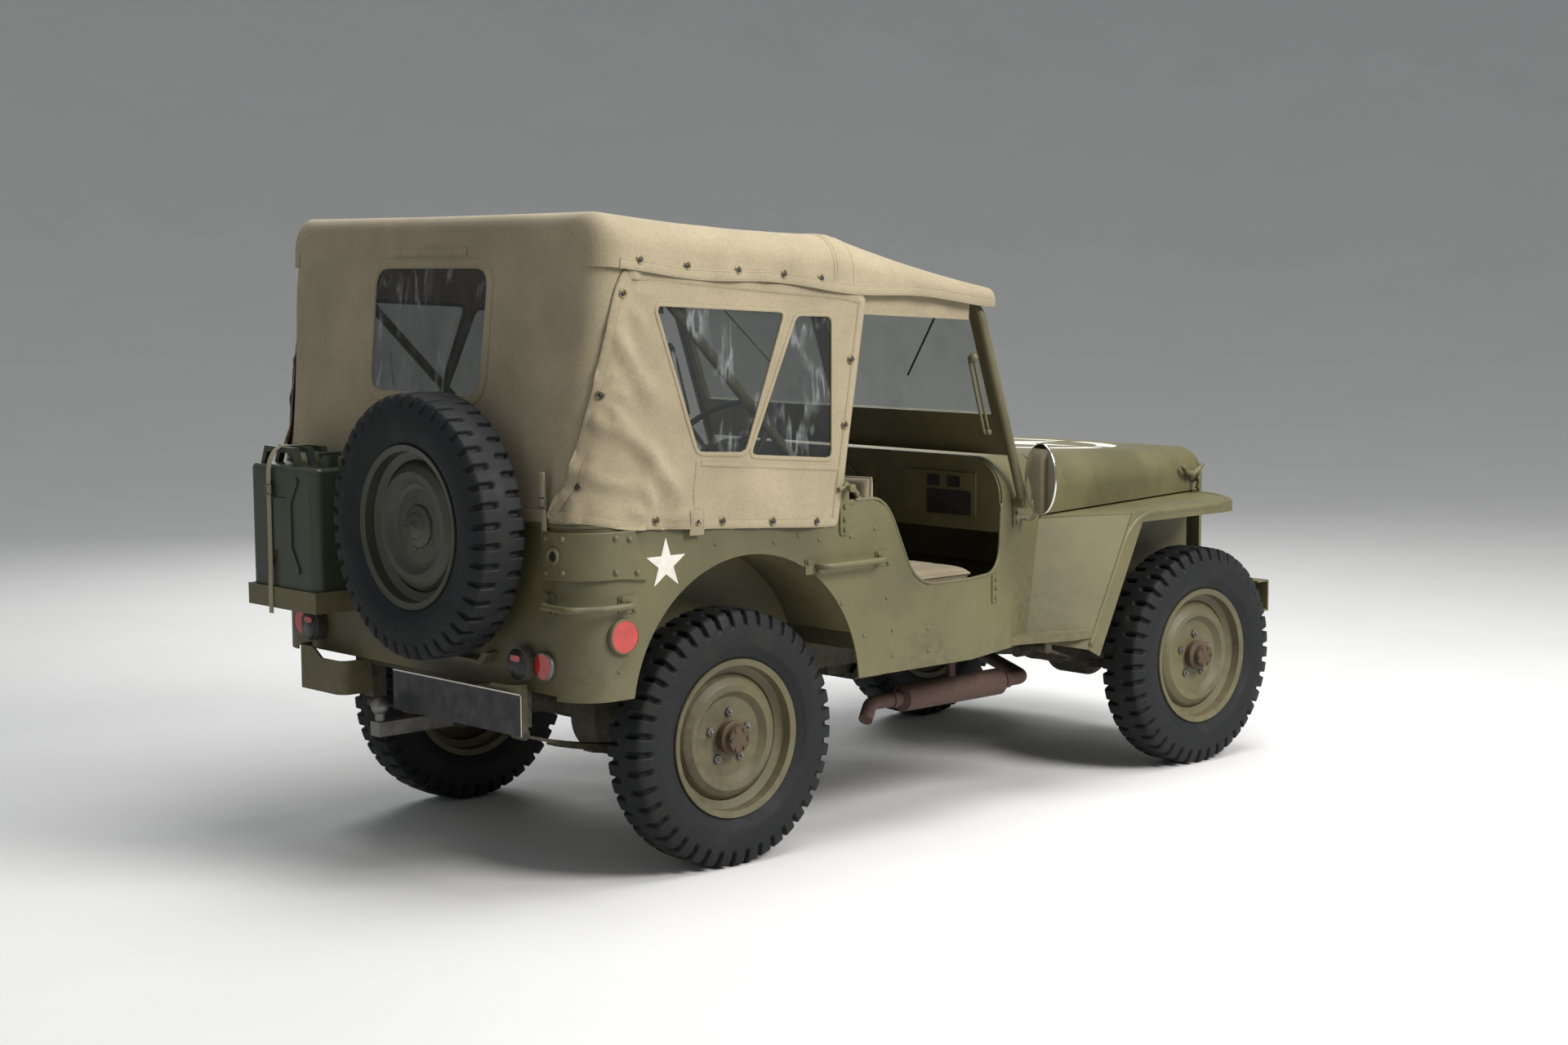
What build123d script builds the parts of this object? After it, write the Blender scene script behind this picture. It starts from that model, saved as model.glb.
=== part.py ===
"""Army 4x4 utility car with its canvas top up: ladder frame, leaf springs, open steel tub, folding bows."""

import os
from math import asin, atan2, cos, degrees, hypot, radians, sin, sqrt, tan

from build123d import *

# Layout, in millimetres: X forward, Y left, Z up, floor at Z = 0
wheelbase = 2032.0
track = 1226.0
front_overhang = 498.0  # front axle to the bumper's face
rear_overhang = 772.0  # rear axle to the back of the spare tyre
rear_x = -(wheelbase + front_overhang - rear_overhang) / 2
front_x = rear_x + wheelbase
fit_gap = 0.3  # between pieces that seat on each other
move_gap = 6.0  # between a moving piece and its neighbours

# Wheels and tyres
tyre_radius = 356.0  # to the lug tips
tyre_width = 160.0
tread_half = 60.0
bead_radius = 206.5
flange_radius = 220.0
rim_half = 60.0
rim_sheet = 5.0
drop_radius = 182.0
disc_face = 22.0  # outboard of the wheel's middle plane
drum_radius = 127.0
drum_sheet = 9.0
spindle_radius = 22.0
hub_radius = 44.0
hub_reach = 76.0
wheel_z = tyre_radius

# Frame and axles
rail_out = 371.0
rail_width = 45.0
rail_height = 85.0
rail_rear_z, rail_mid_z, rail_front_z = 515.0, 445.0, 455.0  # undersides
rail_tail_x = rear_x - 540.0
bumper_x = front_x + front_overhang
bumper_sheet = 6.0
bumper_height = 107.0
bumper_half = 570.0
bumper_depth = 60.0
axle_radius = 36.0
pinion_y = -140.0  # the final drives sit right of the middle
diff_radius = 118.0
spring_y = rail_out - rail_width / 2
spring_top_z = 312.0  # top of the pack at the axle
spring_width = 44.0
pad_half = 80.0  # spring pad on the axle, fore and aft
leaf = 8.0
eye_radius = 17.0
kingpin_y = 540.0
kingpin_radius = 12.0
ball_radius = 60.0
cup_gap = 5.0
cup_sheet = 13.0
plate_offset = 35.0  # kingpin to the brake backing plate
plate_sheet = 6.0
arm_reach = 165.0  # steering arm, ahead of the axle
arm_in = 28.0
tie_rod_z = 352.0
tie_rod_radius = 12.0

# Body tub
tail_x = rear_x - 575.0
body_half = 735.0
corner_radius = 110.0
wall = 5.0
bend_x = rear_x + 870.0  # the sides draw in from here
firewall_x = rear_x + 1310.0
cowl_half = 607.0
dash_x = rear_x + 1065.0
sill_z = 482.0
tail_bottom_z = 525.0
rear_panel_z = 537.0  # foot of the rear panel, over the bumperettes
rail_top_z = 985.0
cowl_side_z = 935.0
cowl_top_z = 1060.0
cowl_corner = 120.0
door_sill_z = 720.0
door_back_x = rear_x + 640.0
door_top_x = rear_x + 520.0
door_front_x = rear_x + 1045.0
arch_radius = 410.0
arch_z = 458.0
box_clear = 63.0  # inner wall of a wheel box to its tyre
box_in = track / 2 - tyre_width / 2 - box_clear
floor_z = 540.0
rear_floor_z = 615.0
riser_x = rear_x + 500.0
toe_x = rear_x + 1010.0
toe_top_z = 700.0
fender_z = 862.0
fender_sheet = 6.0
fender_lip = 33.0
fender_bend_x = rear_x + 1605.0
fender_foot_x = rear_x + 1400.0
fender_foot_z = 451.0
grille_x = front_x + 298.0
grille_sheet = 12.0
grille_half = 425.0
grille_bottom_z = 575.0
grille_top_z = 1004.0
grille_corner = 90.0

# Hood
hood_sheet = 4.0
hood_rear_half, hood_front_half = 600.0, 425.0
hood_rear_z, hood_front_z = cowl_top_z - 4.0, 1010.0
hood_bottom_z = fender_z + move_gap
hood_back_x = firewall_x + wall + move_gap
hood_front_x = grille_x - move_gap
hinge_radius = 7.0
hinge_z = cowl_top_z + hinge_radius + 5.0
hinge_x = firewall_x + wall + 2.0

# Windscreen
screen_lean = radians(18.4)
screen_foot_x = rear_x + 1144.0
screen_foot_z = 925.0
screen_half = 690.0
screen_height = 650.0
screen_tube = 15.0
pivot_radius = 19.0

# Canvas and bows
canvas = 5.0
deck_table = (  # station from rear axle, half width, top, corner radius, valance foot
    (-505.0, body_half + 13.0, 1790.0, 90.0, 1640.0),
    (350.0, body_half + 13.0, 1726.0, 100.0, 1570.0),
    (985.0, screen_half + 32.0, 1570.0, 34.0, 1520.0),
)
curtain_y = body_half + 0.5
curtain_foot_z = 920.0
bow_radius = 14.0
bow_foot_x = rear_x + 330.0
bow_half = body_half - 23.0

# Spare wheel and can
spare_x = rear_x - rear_overhang + tyre_width / 2
spare_y = -222.0
spare_z = 962.0
can_width, can_depth, can_height = 345.0, 165.0, 450.0
can_gap = 20.0  # least room beside the spare tyre
can_y = max(body_half - 335.0, spare_y + tyre_radius + can_gap + can_width / 2)
can_z = 690.0

# Seats and steering
seat_y = body_half - 320.0
seat_width = 440.0
steer_y = seat_y - 25.0


def band(path, thickness):
    """Corner points of a sheet of this thickness lying left of a path, its corners mitred."""
    normals = []
    for (ax, ay), (bx, by) in zip(path, path[1:]):
        length = hypot(bx - ax, by - ay)
        normals.append(((ay - by) / length, (bx - ax) / length))
    far = []
    for index, (px, py) in enumerate(path):
        (ax, ay), (bx, by) = normals[max(index - 1, 0)], normals[min(index, len(normals) - 1)]
        share = thickness / (1 + ax * bx + ay * by)
        far.append((px + (ax + bx) * share, py + (ay + by) * share))
    return [*path, *reversed(far)]


def outline(points):
    """A face from corner points, added to the sketch that is open."""
    return Polygon(*points, align=None)


def side_half(x):
    """Half the tub's width at a station: straight, then drawn in to the cowl."""
    if x <= bend_x:
        return body_half
    return body_half - (body_half - cowl_half) * (x - bend_x) / (firewall_x - bend_x)


def save(part, name):
    """Writes one piece as its own file."""
    part.label = name
    export_step(part, f"parts/{name}.step")


os.makedirs("parts", exist_ok=True)
sides = (("left", 1), ("right", -1))
axles = (("front", front_x), ("rear", rear_x))


# Tyres and wheels, turned about their own axis; local Y points outboard
def tyre(plane):
    with BuildPart() as rubber:
        with BuildSketch(plane):
            with BuildLine():
                half = tyre_width / 2
                foot, shoulder, cheek = flange_radius + 6, tyre_radius - 14, tread_half + 2
                Polyline((foot, -cheek), (bead_radius, -53), (bead_radius, 53), (foot, cheek))
                ThreePointArc((foot, cheek), ((foot + shoulder) / 2, half), (shoulder, cheek))
                Polyline((shoulder, cheek), (tyre_radius, tread_half), (tyre_radius, -tread_half), (shoulder, -cheek))
                ThreePointArc((shoulder, -cheek), ((foot + shoulder) / 2, -half), (foot, -cheek))
            make_face()
        revolve(axis=Axis(plane.origin, plane.y_dir))
    return rubber.part


def wheel(plane, hub):
    rim_path = [(flange_radius, rim_half), (206, 56), (203, 30), (drop_radius, 18), (drop_radius, -18)]
    rim_path += [(203, -30), (206, -56), (flange_radius, -rim_half)]
    disc_path = [(40, disc_face), (100, disc_face), (112, 27), (128, 44), (146, 46), (164, 32), (178.5, 12)]
    with BuildPart() as steel:
        with BuildSketch(plane):
            outline(band(list(reversed(rim_path)), rim_sheet))
            outline(band(list(reversed(disc_path)), rim_sheet))
            if hub:
                face = disc_face - rim_sheet
                drum = [(drum_radius, -27), (drum_radius, face), (spindle_radius + 0.1, face)]
                outline(band(drum, -drum_sheet))
                bore = spindle_radius + fit_gap
                outline([(bore, -10), (34, -10), (hub_radius, disc_face), (hub_radius, 54), (36, 58),
                         (36, hub_reach), (0, hub_reach), (0, 32), (bore, 32)])
            else:
                outline([(0, disc_face - 2), (0, disc_face + 8), (44, disc_face + 8), (48, disc_face - 2)])
        revolve(axis=Axis(plane.origin, plane.y_dir))
    return steel.part


for end, x in axles:
    for side, sign in sides:
        hub_plane = Plane((x, sign * track / 2, wheel_z), x_dir=(1, 0, 0), z_dir=(0, 0, sign))
        save(tyre(hub_plane), f"tyre_{end}_{side}")
        save(wheel(hub_plane, True), f"wheel_{end}_{side}")
spare_plane = Plane((spare_x, spare_y, spare_z), x_dir=(0, 0, 1), z_dir=(0, -1, 0))
save(tyre(spare_plane), "spare_tyre")
save(wheel(spare_plane, False), "spare_wheel")


# Ladder frame: two rails that rise over the axles, cross members, spring hangers and body pads
rail_path = [(rail_tail_x, rail_rear_z), (rear_x + 300, rail_rear_z), (rear_x + 480, rail_mid_z)]
rail_path += [(front_x - 560, rail_mid_z), (front_x - 440, rail_front_z)]
rail_path += [(bumper_x - bumper_sheet - fit_gap, rail_front_z)]
cross_z = grille_bottom_z - fit_gap
spring_table = (  # axle station, half length, camber, rail underside at each eye: behind, ahead
    (front_x, 410.0, 80.0, rail_front_z, rail_front_z),
    (rear_x, 490.0, 80.0, rail_rear_z, rail_mid_z),
)
skid_top_z = 380.0
skid_x = rear_x + 940.0
with BuildPart() as frame:
    for side, sign in sides:
        with BuildSketch(Plane.XZ.offset(-sign * spring_y)):
            outline(band(rail_path, rail_height))
        extrude(amount=rail_width / 2, both=True)
    span = 2 * (rail_out - rail_width) + 10
    with Locations((rail_tail_x + 40, 0, rail_rear_z + rail_height / 2)):
        Box(80, span, rail_height)
    with Locations((rear_x + 560, 0, rail_mid_z + rail_height / 2)):
        Cylinder(28, span, rotation=(90, 0, 0))
    with Locations((grille_x - 45, 0, (rail_front_z + 10 + cross_z) / 2)):
        Box(150, span, cross_z - rail_front_z - 10)
    with BuildSketch(Plane.YZ.offset(skid_x)):
        inner = rail_out - rail_width + 5
        foot = rail_mid_z + 30
        outline(band([(-inner, foot), (-230, skid_top_z - 20), (230, skid_top_z - 20), (inner, foot)], 20 - fit_gap))
    extrude(amount=60, both=True)
    for axle_x, half, camber, behind_z, ahead_z in spring_table:
        eye_z = spring_top_z + camber
        for shift, under_z in ((-half, behind_z), (half, ahead_z)):
            top = under_z + 5
            foot = eye_z + eye_radius + fit_gap
            with Locations(*[(axle_x + shift, sign * spring_y, (top + foot) / 2) for side, sign in sides]):
                Box(46, rail_width, top - foot)
    pad_table = ((rear_x - 480, rail_rear_z, rear_floor_z), (rear_x + 200, rail_rear_z, rear_floor_z),
                 (rear_x + 620, rail_mid_z, floor_z), (rear_x + 960, rail_mid_z, floor_z))
    for x, under_z, seat_z in pad_table:
        foot = under_z + rail_height - 2
        with Locations(*[(x, sign * spring_y, (foot + seat_z - fit_gap) / 2) for side, sign in sides]):
            Box(60, rail_width, seat_z - fit_gap - foot)
save(frame.part, "frame")

# Front bumper, an open channel
with BuildPart() as bumper:
    with BuildSketch(Plane.XZ):
        z = rail_front_z + rail_height / 2
        with Locations((bumper_x - bumper_depth / 2, z)):
            Rectangle(bumper_depth, bumper_height)
        with Locations((bumper_x - bumper_sheet - bumper_depth / 2, z)):
            Rectangle(bumper_depth, bumper_height - 2 * bumper_sheet, mode=Mode.SUBTRACT)
    extrude(amount=bumper_half, both=True)
save(bumper.part, "front_bumper")

# Rear bumperettes: plates that run back from the last cross member and turn outward
bumperette_foot_z, bumperette_height, bumperette_sheet = 434.0, 126.0, 8.0
bumperette_x = tail_x - 65
arm_y, bumperette_y = rail_out - 81.0, rail_out + 149.0
arm_top_z = rear_panel_z - move_gap
with BuildPart() as bumperettes:
    for side, sign in sides:
        with BuildSketch(Plane.XY.offset(bumperette_foot_z)):
            with BuildLine():
                start_x = rail_tail_x - fit_gap - bumperette_sheet / 2
                run = FilletPolyline((start_x, sign * arm_y), (bumperette_x, sign * arm_y), (bumperette_x, sign * bumperette_y),
                                     (bumperette_x + 45, sign * bumperette_y), radius=32)
                offset(run, amount=bumperette_sheet / 2, kind=Kind.ARC)
            make_face()
        extrude(amount=bumperette_height)
    with BuildSketch(Plane.YZ.offset(rail_tail_x)):
        top = bumperette_foot_z + bumperette_height
        outline([(-rail_out - 20, arm_top_z), (rail_out + 20, arm_top_z), (rail_out + 65, top), (-rail_out - 65, top)])
    extrude(amount=bumperette_x - rail_tail_x - 50, mode=Mode.SUBTRACT)
save(bumperettes.part, "bumperettes")

# Tow ball on a bent bar under the last cross member
ball_x, ball_z, ball_r = tail_x - 130, 450.0, 25.0
bar_z = 388.0
with BuildPart() as tow_ball:
    with BuildSketch(Plane.XZ):
        outline(band([(ball_x - 18, bar_z - 20), (rail_tail_x + 60, bar_z - 20)], 40))
        outline([(rail_tail_x + 20, bar_z), (rail_tail_x + 60, bar_z), (rail_tail_x + 60, rail_rear_z - fit_gap),
                 (rail_tail_x + 20, rail_rear_z - fit_gap)])
    extrude(amount=22, both=True)
    with Locations((ball_x, 0, (bar_z + ball_z) / 2)):
        Cylinder(14, ball_z - bar_z)
    with Locations((ball_x, 0, ball_z)):
        Sphere(ball_r)
save(tow_ball.part, "tow_ball")


# Axles: tube, final drive and spring pads; the front one ends in balls, the rear one in brake plates
def axle(axle_x, nose, half, camber):
    pad_z = spring_top_z + pad_half ** 2 * camber / half ** 2 + fit_gap
    end_y = kingpin_y if nose < 0 else kingpin_y + plate_offset
    with BuildPart() as beam:
        with Locations((axle_x, 0, wheel_z)):
            Cylinder(axle_radius, 2 * end_y - (40 if nose < 0 else 0), rotation=(90, 0, 0))
        with BuildSketch(Plane((axle_x, pinion_y, wheel_z), x_dir=(1, 0, 0), z_dir=(0, 0, 1))):
            outline([(0, -105), (60, -105), (diff_radius, -60), (diff_radius, 50), (60, 105), (0, 105)])
        revolve(axis=Axis((axle_x, pinion_y, wheel_z), (0, 1, 0)))
        with BuildSketch(Plane((axle_x, pinion_y, wheel_z), x_dir=(nose, 0, 0), z_dir=(0, -nose, 0))):
            outline([(70, 0), (70, 80), (190, 52), (235, 44), (235, 0)])
        revolve(axis=Axis((axle_x, pinion_y, wheel_z), (1, 0, 0)))
        for side, sign in sides:
            with Locations((axle_x, sign * spring_y, (pad_z + wheel_z) / 2)):
                Box(2 * pad_half, rail_width, wheel_z - pad_z)
            if nose < 0:
                with BuildPart(mode=Mode.PRIVATE) as ball:
                    with Locations((axle_x, sign * kingpin_y, wheel_z)):
                        Sphere(ball_radius)
                    split(bisect_by=Plane((axle_x, sign * (kingpin_y + 5), wheel_z), z_dir=(0, -sign, 0)))
                add(ball.part)
                with Locations((axle_x, sign * kingpin_y, wheel_z)):
                    Cylinder(kingpin_radius, 2 * (ball_radius + cup_gap + cup_sheet + 12))
            else:
                with Locations((axle_x, sign * (end_y + plate_sheet / 2), wheel_z)):
                    Cylinder(drum_radius + 4, plate_sheet, rotation=(90, 0, 0))
                with Locations((axle_x, sign * (end_y + 35), wheel_z)):
                    Cylinder(spindle_radius, 66, rotation=(90, 0, 0))
    return beam.part


for (end, axle_x), nose, (x, half, camber, *unders) in zip(axles, (-1, 1), spring_table):
    save(axle(axle_x, nose, half, camber), f"{end}_axle")

# Leaf springs under the axles, three leaves a pack, arcs about one centre
with BuildPart() as springs:
    for axle_x, half, camber, behind_z, ahead_z in spring_table:
        radius = (half ** 2 + camber ** 2) / (2 * camber)
        centre = (axle_x, spring_top_z + radius)
        for side, sign in sides:
            for layer, share in ((0, 1.0), (1, 0.78), (2, 0.52)):
                swing = degrees(asin(half * share / radius))
                inner, outer = radius + layer * leaf, radius + (layer + 1) * leaf
                with BuildSketch(Plane.XZ.offset(-sign * spring_y)):
                    with BuildLine():
                        low = CenterArc(centre, outer, 270 - swing, 2 * swing)
                        high = CenterArc(centre, inner, 270 - swing, 2 * swing)
                        Line(low @ 0, high @ 0)
                        Line(low @ 1, high @ 1)
                    make_face()
                extrude(amount=spring_width / 2, both=True)
            with Locations(*[(axle_x + shift, sign * spring_y, spring_top_z + camber) for shift in (-half, half)]):
                Cylinder(eye_radius, spring_width, rotation=(90, 0, 0))
save(springs.part, "leaf_springs")

# Dampers outside the rails, an eye at each end
damper_y = rail_out + fit_gap + 22
damper_table = ((front_x, -1, rail_front_z), (rear_x, 1, rail_rear_z))
with BuildPart() as dampers:
    for axle_x, lean, under_z in damper_table:
        low = Vector(axle_x + lean * 62, 0, wheel_z - 26)
        high = Vector(axle_x + lean * 160, 0, under_z + 40)
        axis = (high - low).normalized()
        for side, sign in sides:
            shift = Vector(0, sign * damper_y, 0)
            with Locations(low + shift, high + shift):
                Cylinder(15, 44, rotation=(90, 0, 0))
            with BuildSketch(Plane(low + shift, z_dir=axis)):
                Circle(16)
            extrude(amount=(high - low).length * 0.6)
            with BuildSketch(Plane(low + shift, z_dir=axis)):
                Circle(10)
            extrude(amount=(high - low).length)
save(dampers.part, "dampers")


# Steering knuckles: cup over the axle's ball, trunnions, brake plate, spindle and forward arm
def knuckle(sign):
    hub_y = sign * (kingpin_y + plate_offset)
    inner = ball_radius + cup_gap
    with BuildPart() as swivel:
        with Locations((front_x, sign * kingpin_y, wheel_z)):
            Sphere(inner + cup_sheet)
            Sphere(inner, mode=Mode.SUBTRACT)
        split(bisect_by=Plane((front_x, sign * (kingpin_y - 12), wheel_z), z_dir=(0, sign, 0)))
        split(bisect_by=Plane((front_x, hub_y, wheel_z), z_dir=(0, -sign, 0)))
        with Locations(*[(front_x, sign * kingpin_y, wheel_z + lift * (inner + cup_sheet + 8)) for lift in (-1, 1)]):
            Cylinder(24, 22)
        with Locations((front_x, sign * kingpin_y, wheel_z)):
            Cylinder(kingpin_radius + fit_gap, 4 * ball_radius, mode=Mode.SUBTRACT)
        with Locations((front_x, hub_y + sign * plate_sheet / 2, wheel_z)):
            Cylinder(drum_radius + 4, plate_sheet, rotation=(90, 0, 0))
        with Locations((front_x, hub_y + sign * 35, wheel_z)):
            Cylinder(spindle_radius, 66, rotation=(90, 0, 0))
        with BuildSketch(Plane.XY.offset(tie_rod_z + tie_rod_radius + 2)):
            tip = (front_x + arm_reach, sign * (kingpin_y - arm_in))
            root = (front_x + 66, sign * (kingpin_y + 4))
            outline([(root[0], root[1] - 22), (root[0], root[1] + 22), (tip[0], tip[1] + 16), (tip[0], tip[1] - 16)])
            with Locations(tip):
                Circle(17)
        extrude(amount=15)
    return swivel.part


for side, sign in sides:
    save(knuckle(sign), f"knuckle_{side}")

# Tie rod between the arms, an upright boss under each arm's tip
with BuildPart() as tie_rod:
    with Locations((front_x + arm_reach, 0, tie_rod_z)):
        Cylinder(tie_rod_radius, 2 * (kingpin_y - arm_in), rotation=(90, 0, 0))
    boss = tie_rod_radius + 2 - fit_gap
    with Locations(*[(front_x + arm_reach, sign * (kingpin_y - arm_in), tie_rod_z + (boss - 14) / 2) for side, sign in sides]):
        Cylinder(16, boss + 14)
save(tie_rod.part, "tie_rod")

# Engine, clutch housing, gearbox and transfer case as one plain block
engine_half, gearbox_half = 150.0, 92.0
engine_back_x, engine_front_x = firewall_x + 170.0, front_x + 78.0
gearbox_back_x = rear_x + 900.0
with BuildPart() as power_unit:
    with Locations(((engine_back_x + engine_front_x) / 2, 0, 715)):
        Box(engine_front_x - engine_back_x, 2 * engine_half, 430)
    with BuildSketch(Plane.YZ.offset(engine_back_x - 130)):
        with Locations((0, 560)):
            Circle(165)
    extrude(amount=130)
    with Locations(((gearbox_back_x + engine_back_x) / 2, 0, (skid_top_z + floor_z - 30) / 2)):
        Box(engine_back_x - gearbox_back_x, 2 * gearbox_half, floor_z - 30 - skid_top_z)
    with Locations((gearbox_back_x - 30, -70, (skid_top_z + floor_z - 30) / 2)):
        Box(150, 260, floor_z - 30 - skid_top_z)
save(power_unit.part, "power_unit")

# Propeller shafts from the transfer case to the two final drives
shaft_z = 432.0
shaft_table = ((gearbox_back_x + 45 + fit_gap, front_x - 235 - fit_gap), (gearbox_back_x - 105 - fit_gap, rear_x + 235 + fit_gap))
with BuildPart() as propshafts:
    for start_x, end_x in shaft_table:
        start = Vector(start_x, pinion_y, shaft_z)
        finish = Vector(end_x, pinion_y, wheel_z)
        along = Vector(1 if end_x > start_x else -1, 0, 0)
        inset = along * 60
        for point, way in ((start, along), (finish, along * -1)):
            with BuildSketch(Plane(point, z_dir=way)):
                Circle(40)
            extrude(amount=12)
            with BuildSketch(Plane(point, z_dir=way)):
                Circle(31)
            extrude(amount=75)
        run = (finish - inset) - (start + inset)
        with BuildSketch(Plane(start + inset, z_dir=run.normalized())):
            Circle(22)
        extrude(amount=run.length)
save(propshafts.part, "propshafts")

# Exhaust: down pipe under the right rail, silencer and tail pipe outside it
silencer_y, silencer_z, silencer_radius = -545.0, 356.0, 41.0
silencer_front_x, silencer_back_x = rear_x + 1190.0, rear_x + 770.0
tail_pipe_x, pipe_radius = rear_x + 640.0, 21.0
with BuildPart() as exhaust:
    with BuildLine() as down_path:
        pipe_x = engine_back_x + 80
        FilletPolyline((pipe_x, -engine_half - fit_gap, 600), (pipe_x, -235, 600),
                       (pipe_x - 160, -255, silencer_z + 44), (silencer_front_x + 120, silencer_y, silencer_z),
                       (silencer_front_x - 20, silencer_y, silencer_z), radius=45)
    with BuildSketch(Plane(down_path.line @ 0, z_dir=down_path.line % 0)):
        Circle(pipe_radius)
    sweep(path=down_path.line)
    with BuildSketch(Plane((silencer_back_x, silencer_y, silencer_z), x_dir=(1, 0, 0), z_dir=(0, -1, 0))):
        length = silencer_front_x - silencer_back_x
        outline([(-20, 0), (0, silencer_radius), (length, silencer_radius), (length + 20, 0)])
    revolve(axis=Axis((silencer_back_x, silencer_y, silencer_z), (1, 0, 0)))
    with BuildLine() as tail_path:
        FilletPolyline((silencer_back_x + 5, silencer_y, silencer_z), (tail_pipe_x, silencer_y, silencer_z),
                       (tail_pipe_x - 45, silencer_y - 25, silencer_z - 40), radius=40)
    with BuildSketch(Plane(tail_path.line @ 0, z_dir=tail_path.line % 0)):
        Circle(pipe_radius)
    sweep(path=tail_path.line)
    for x, radius in ((silencer_front_x + 34, pipe_radius + 4), (silencer_back_x - 34, pipe_radius + 4)):
        with BuildSketch(Plane.YZ.offset(x - 11)):
            with Locations((silencer_y, silencer_z)):
                Circle(radius)
        extrude(amount=22)
    with Locations(((silencer_back_x + silencer_front_x) / 2, silencer_y, (silencer_z + floor_z) / 2)):
        Box(24, 18, floor_z - silencer_z - 2 * fit_gap)
save(exhaust.part, "exhaust")


# Tub sides: a bent wall cut to the side view, arch and door opening taken out
def tub_wall(sign, outset, thickness):
    """Plan of one side's sheet from the rear seam round the corner to the firewall."""
    radius = corner_radius + outset
    half = body_half + outset
    front = cowl_half + outset
    with BuildSketch(mode=Mode.PRIVATE) as plan:
        with BuildLine():
            centre = (tail_x + corner_radius, sign * (body_half - corner_radius))
            out = CenterArc(centre, radius, 180, -90 * sign)
            inn = CenterArc(centre, radius - thickness, 180, -90 * sign)
            Line(out @ 0, inn @ 0)
            Polyline(out @ 1, (bend_x, sign * half), (firewall_x, sign * front),
                     (firewall_x, sign * (front - thickness)), (bend_x, sign * (half - thickness)), inn @ 1)
        make_face()
    return plan.sketch


seam_y = body_half - corner_radius
seam_foot_x = firewall_x - 95
side_points = {
    "tail_low": (tail_x - 50, tail_bottom_z),
    "arch_low": (rear_x - arch_radius, tail_bottom_z),
    "arch_mid": (rear_x, tail_bottom_z),
    "sill_back": (rear_x, sill_z),
    "seam_low": (seam_foot_x, sill_z),
    "seam_high": (firewall_x, fender_z),
    "cowl_front": (firewall_x, cowl_side_z),
    "cowl_back": (dash_x, cowl_side_z),
    "door_front": (door_front_x, door_sill_z),
    "door_back": (door_back_x, door_sill_z),
    "door_top": (door_top_x, rail_top_z),
    "tail_high": (tail_x - 50, rail_top_z),
}
door_round = {"door_front": 80, "door_back": 95, "door_top": 120}
for side, sign in sides:
    with BuildPart() as tub_side:
        with BuildSketch(Plane.XY.offset(sill_z)):
            add(tub_wall(sign, 0, wall))
        extrude(amount=rail_top_z - sill_z)
        with BuildSketch(Plane.XZ) as view:
            outline(list(side_points.values()))
            for corner, radius in door_round.items():
                fillet(view.vertices().sort_by_distance((*side_points[corner], 0))[0], radius)
            with Locations((rear_x, arch_z)):
                Circle(arch_radius, mode=Mode.SUBTRACT)
        extrude(amount=body_half + 20, both=True, mode=Mode.INTERSECT)
    save(tub_side.part, f"side_{side}")

# Rear panel between the seams
with BuildPart() as rear_panel:
    with Locations((tail_x + wall / 2, 0, (rear_panel_z + rail_top_z) / 2)):
        Box(wall, 2 * seam_y, rail_top_z - rear_panel_z)
save(rear_panel.part, "rear_panel")

# Floor: load floor, riser, front floor and toe board, drawn in with the sides and let out round the wheel boxes
inside = wall + fit_gap
with BuildPart() as floor:
    with BuildSketch(Plane.XZ):
        outline(band([(tail_x + inside, rear_floor_z), (riser_x, rear_floor_z), (riser_x, floor_z), (toe_x, floor_z),
                      (firewall_x - 20, toe_top_z), (firewall_x - fit_gap, toe_top_z)], wall))
    extrude(amount=body_half, both=True)
    with BuildSketch(Plane.XY.offset(sill_z)):
        outline([(tail_x, -seam_y), (tail_x, seam_y), (tail_x + corner_radius, body_half - inside),
                 (bend_x, body_half - inside), (firewall_x, cowl_half - inside), (firewall_x, inside - cowl_half),
                 (bend_x, inside - body_half), (tail_x + corner_radius, inside - body_half)])
    extrude(amount=400, mode=Mode.INTERSECT)
    box_cut = sqrt((arch_radius + wall) ** 2 - (rear_floor_z - arch_z) ** 2) + inside
    with Locations(*[(rear_x, sign * (box_in + body_half) / 2, rear_floor_z) for side, sign in sides]):
        Box(2 * box_cut + 60, body_half - box_in + 2 * fit_gap, 300, mode=Mode.SUBTRACT)
save(floor.part, "floor")

# Wheel boxes: an arched sheet over each rear wheel, closed by an inner wall, with a flat apron at each foot
with BuildPart() as wheel_boxes:
    for side, sign in sides:
        for out, mode in ((wall, Mode.ADD), (0, Mode.SUBTRACT)):
            start = box_in if mode == Mode.ADD else box_in + wall
            with BuildSketch(Plane.XZ.offset(-sign * start)):
                with Locations((rear_x, arch_z)):
                    Circle(arch_radius + out)
            extrude(amount=-sign * (body_half - inside - start), mode=mode)
    with Locations((rear_x, 0, rear_floor_z - 300)):
        Box(3 * arch_radius, 2 * body_half, 600, mode=Mode.SUBTRACT)
    for side, sign in sides:
        for x in (rear_x - box_cut - 10, rear_x + box_cut + 10):
            with Locations((x, sign * (box_in + body_half - inside) / 2, rear_floor_z + wall / 2)):
                Box(40 - 2 * fit_gap, body_half - inside - box_in, wall)
save(wheel_boxes.part, "wheel_boxes")


# Cowl: rounded hood-high shell between dash and firewall
def arch_section(x, half, top, radius, foot):
    """An upright section with rounded shoulders."""
    with BuildSketch(Plane.YZ.offset(x), mode=Mode.PRIVATE) as section:
        Polygon((-half, foot), (half, foot), (half, top), (-half, top), align=None)
        fillet(section.vertices().group_by(Axis.Y)[-1], radius)
    return section.sketch.faces()[0]


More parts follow.
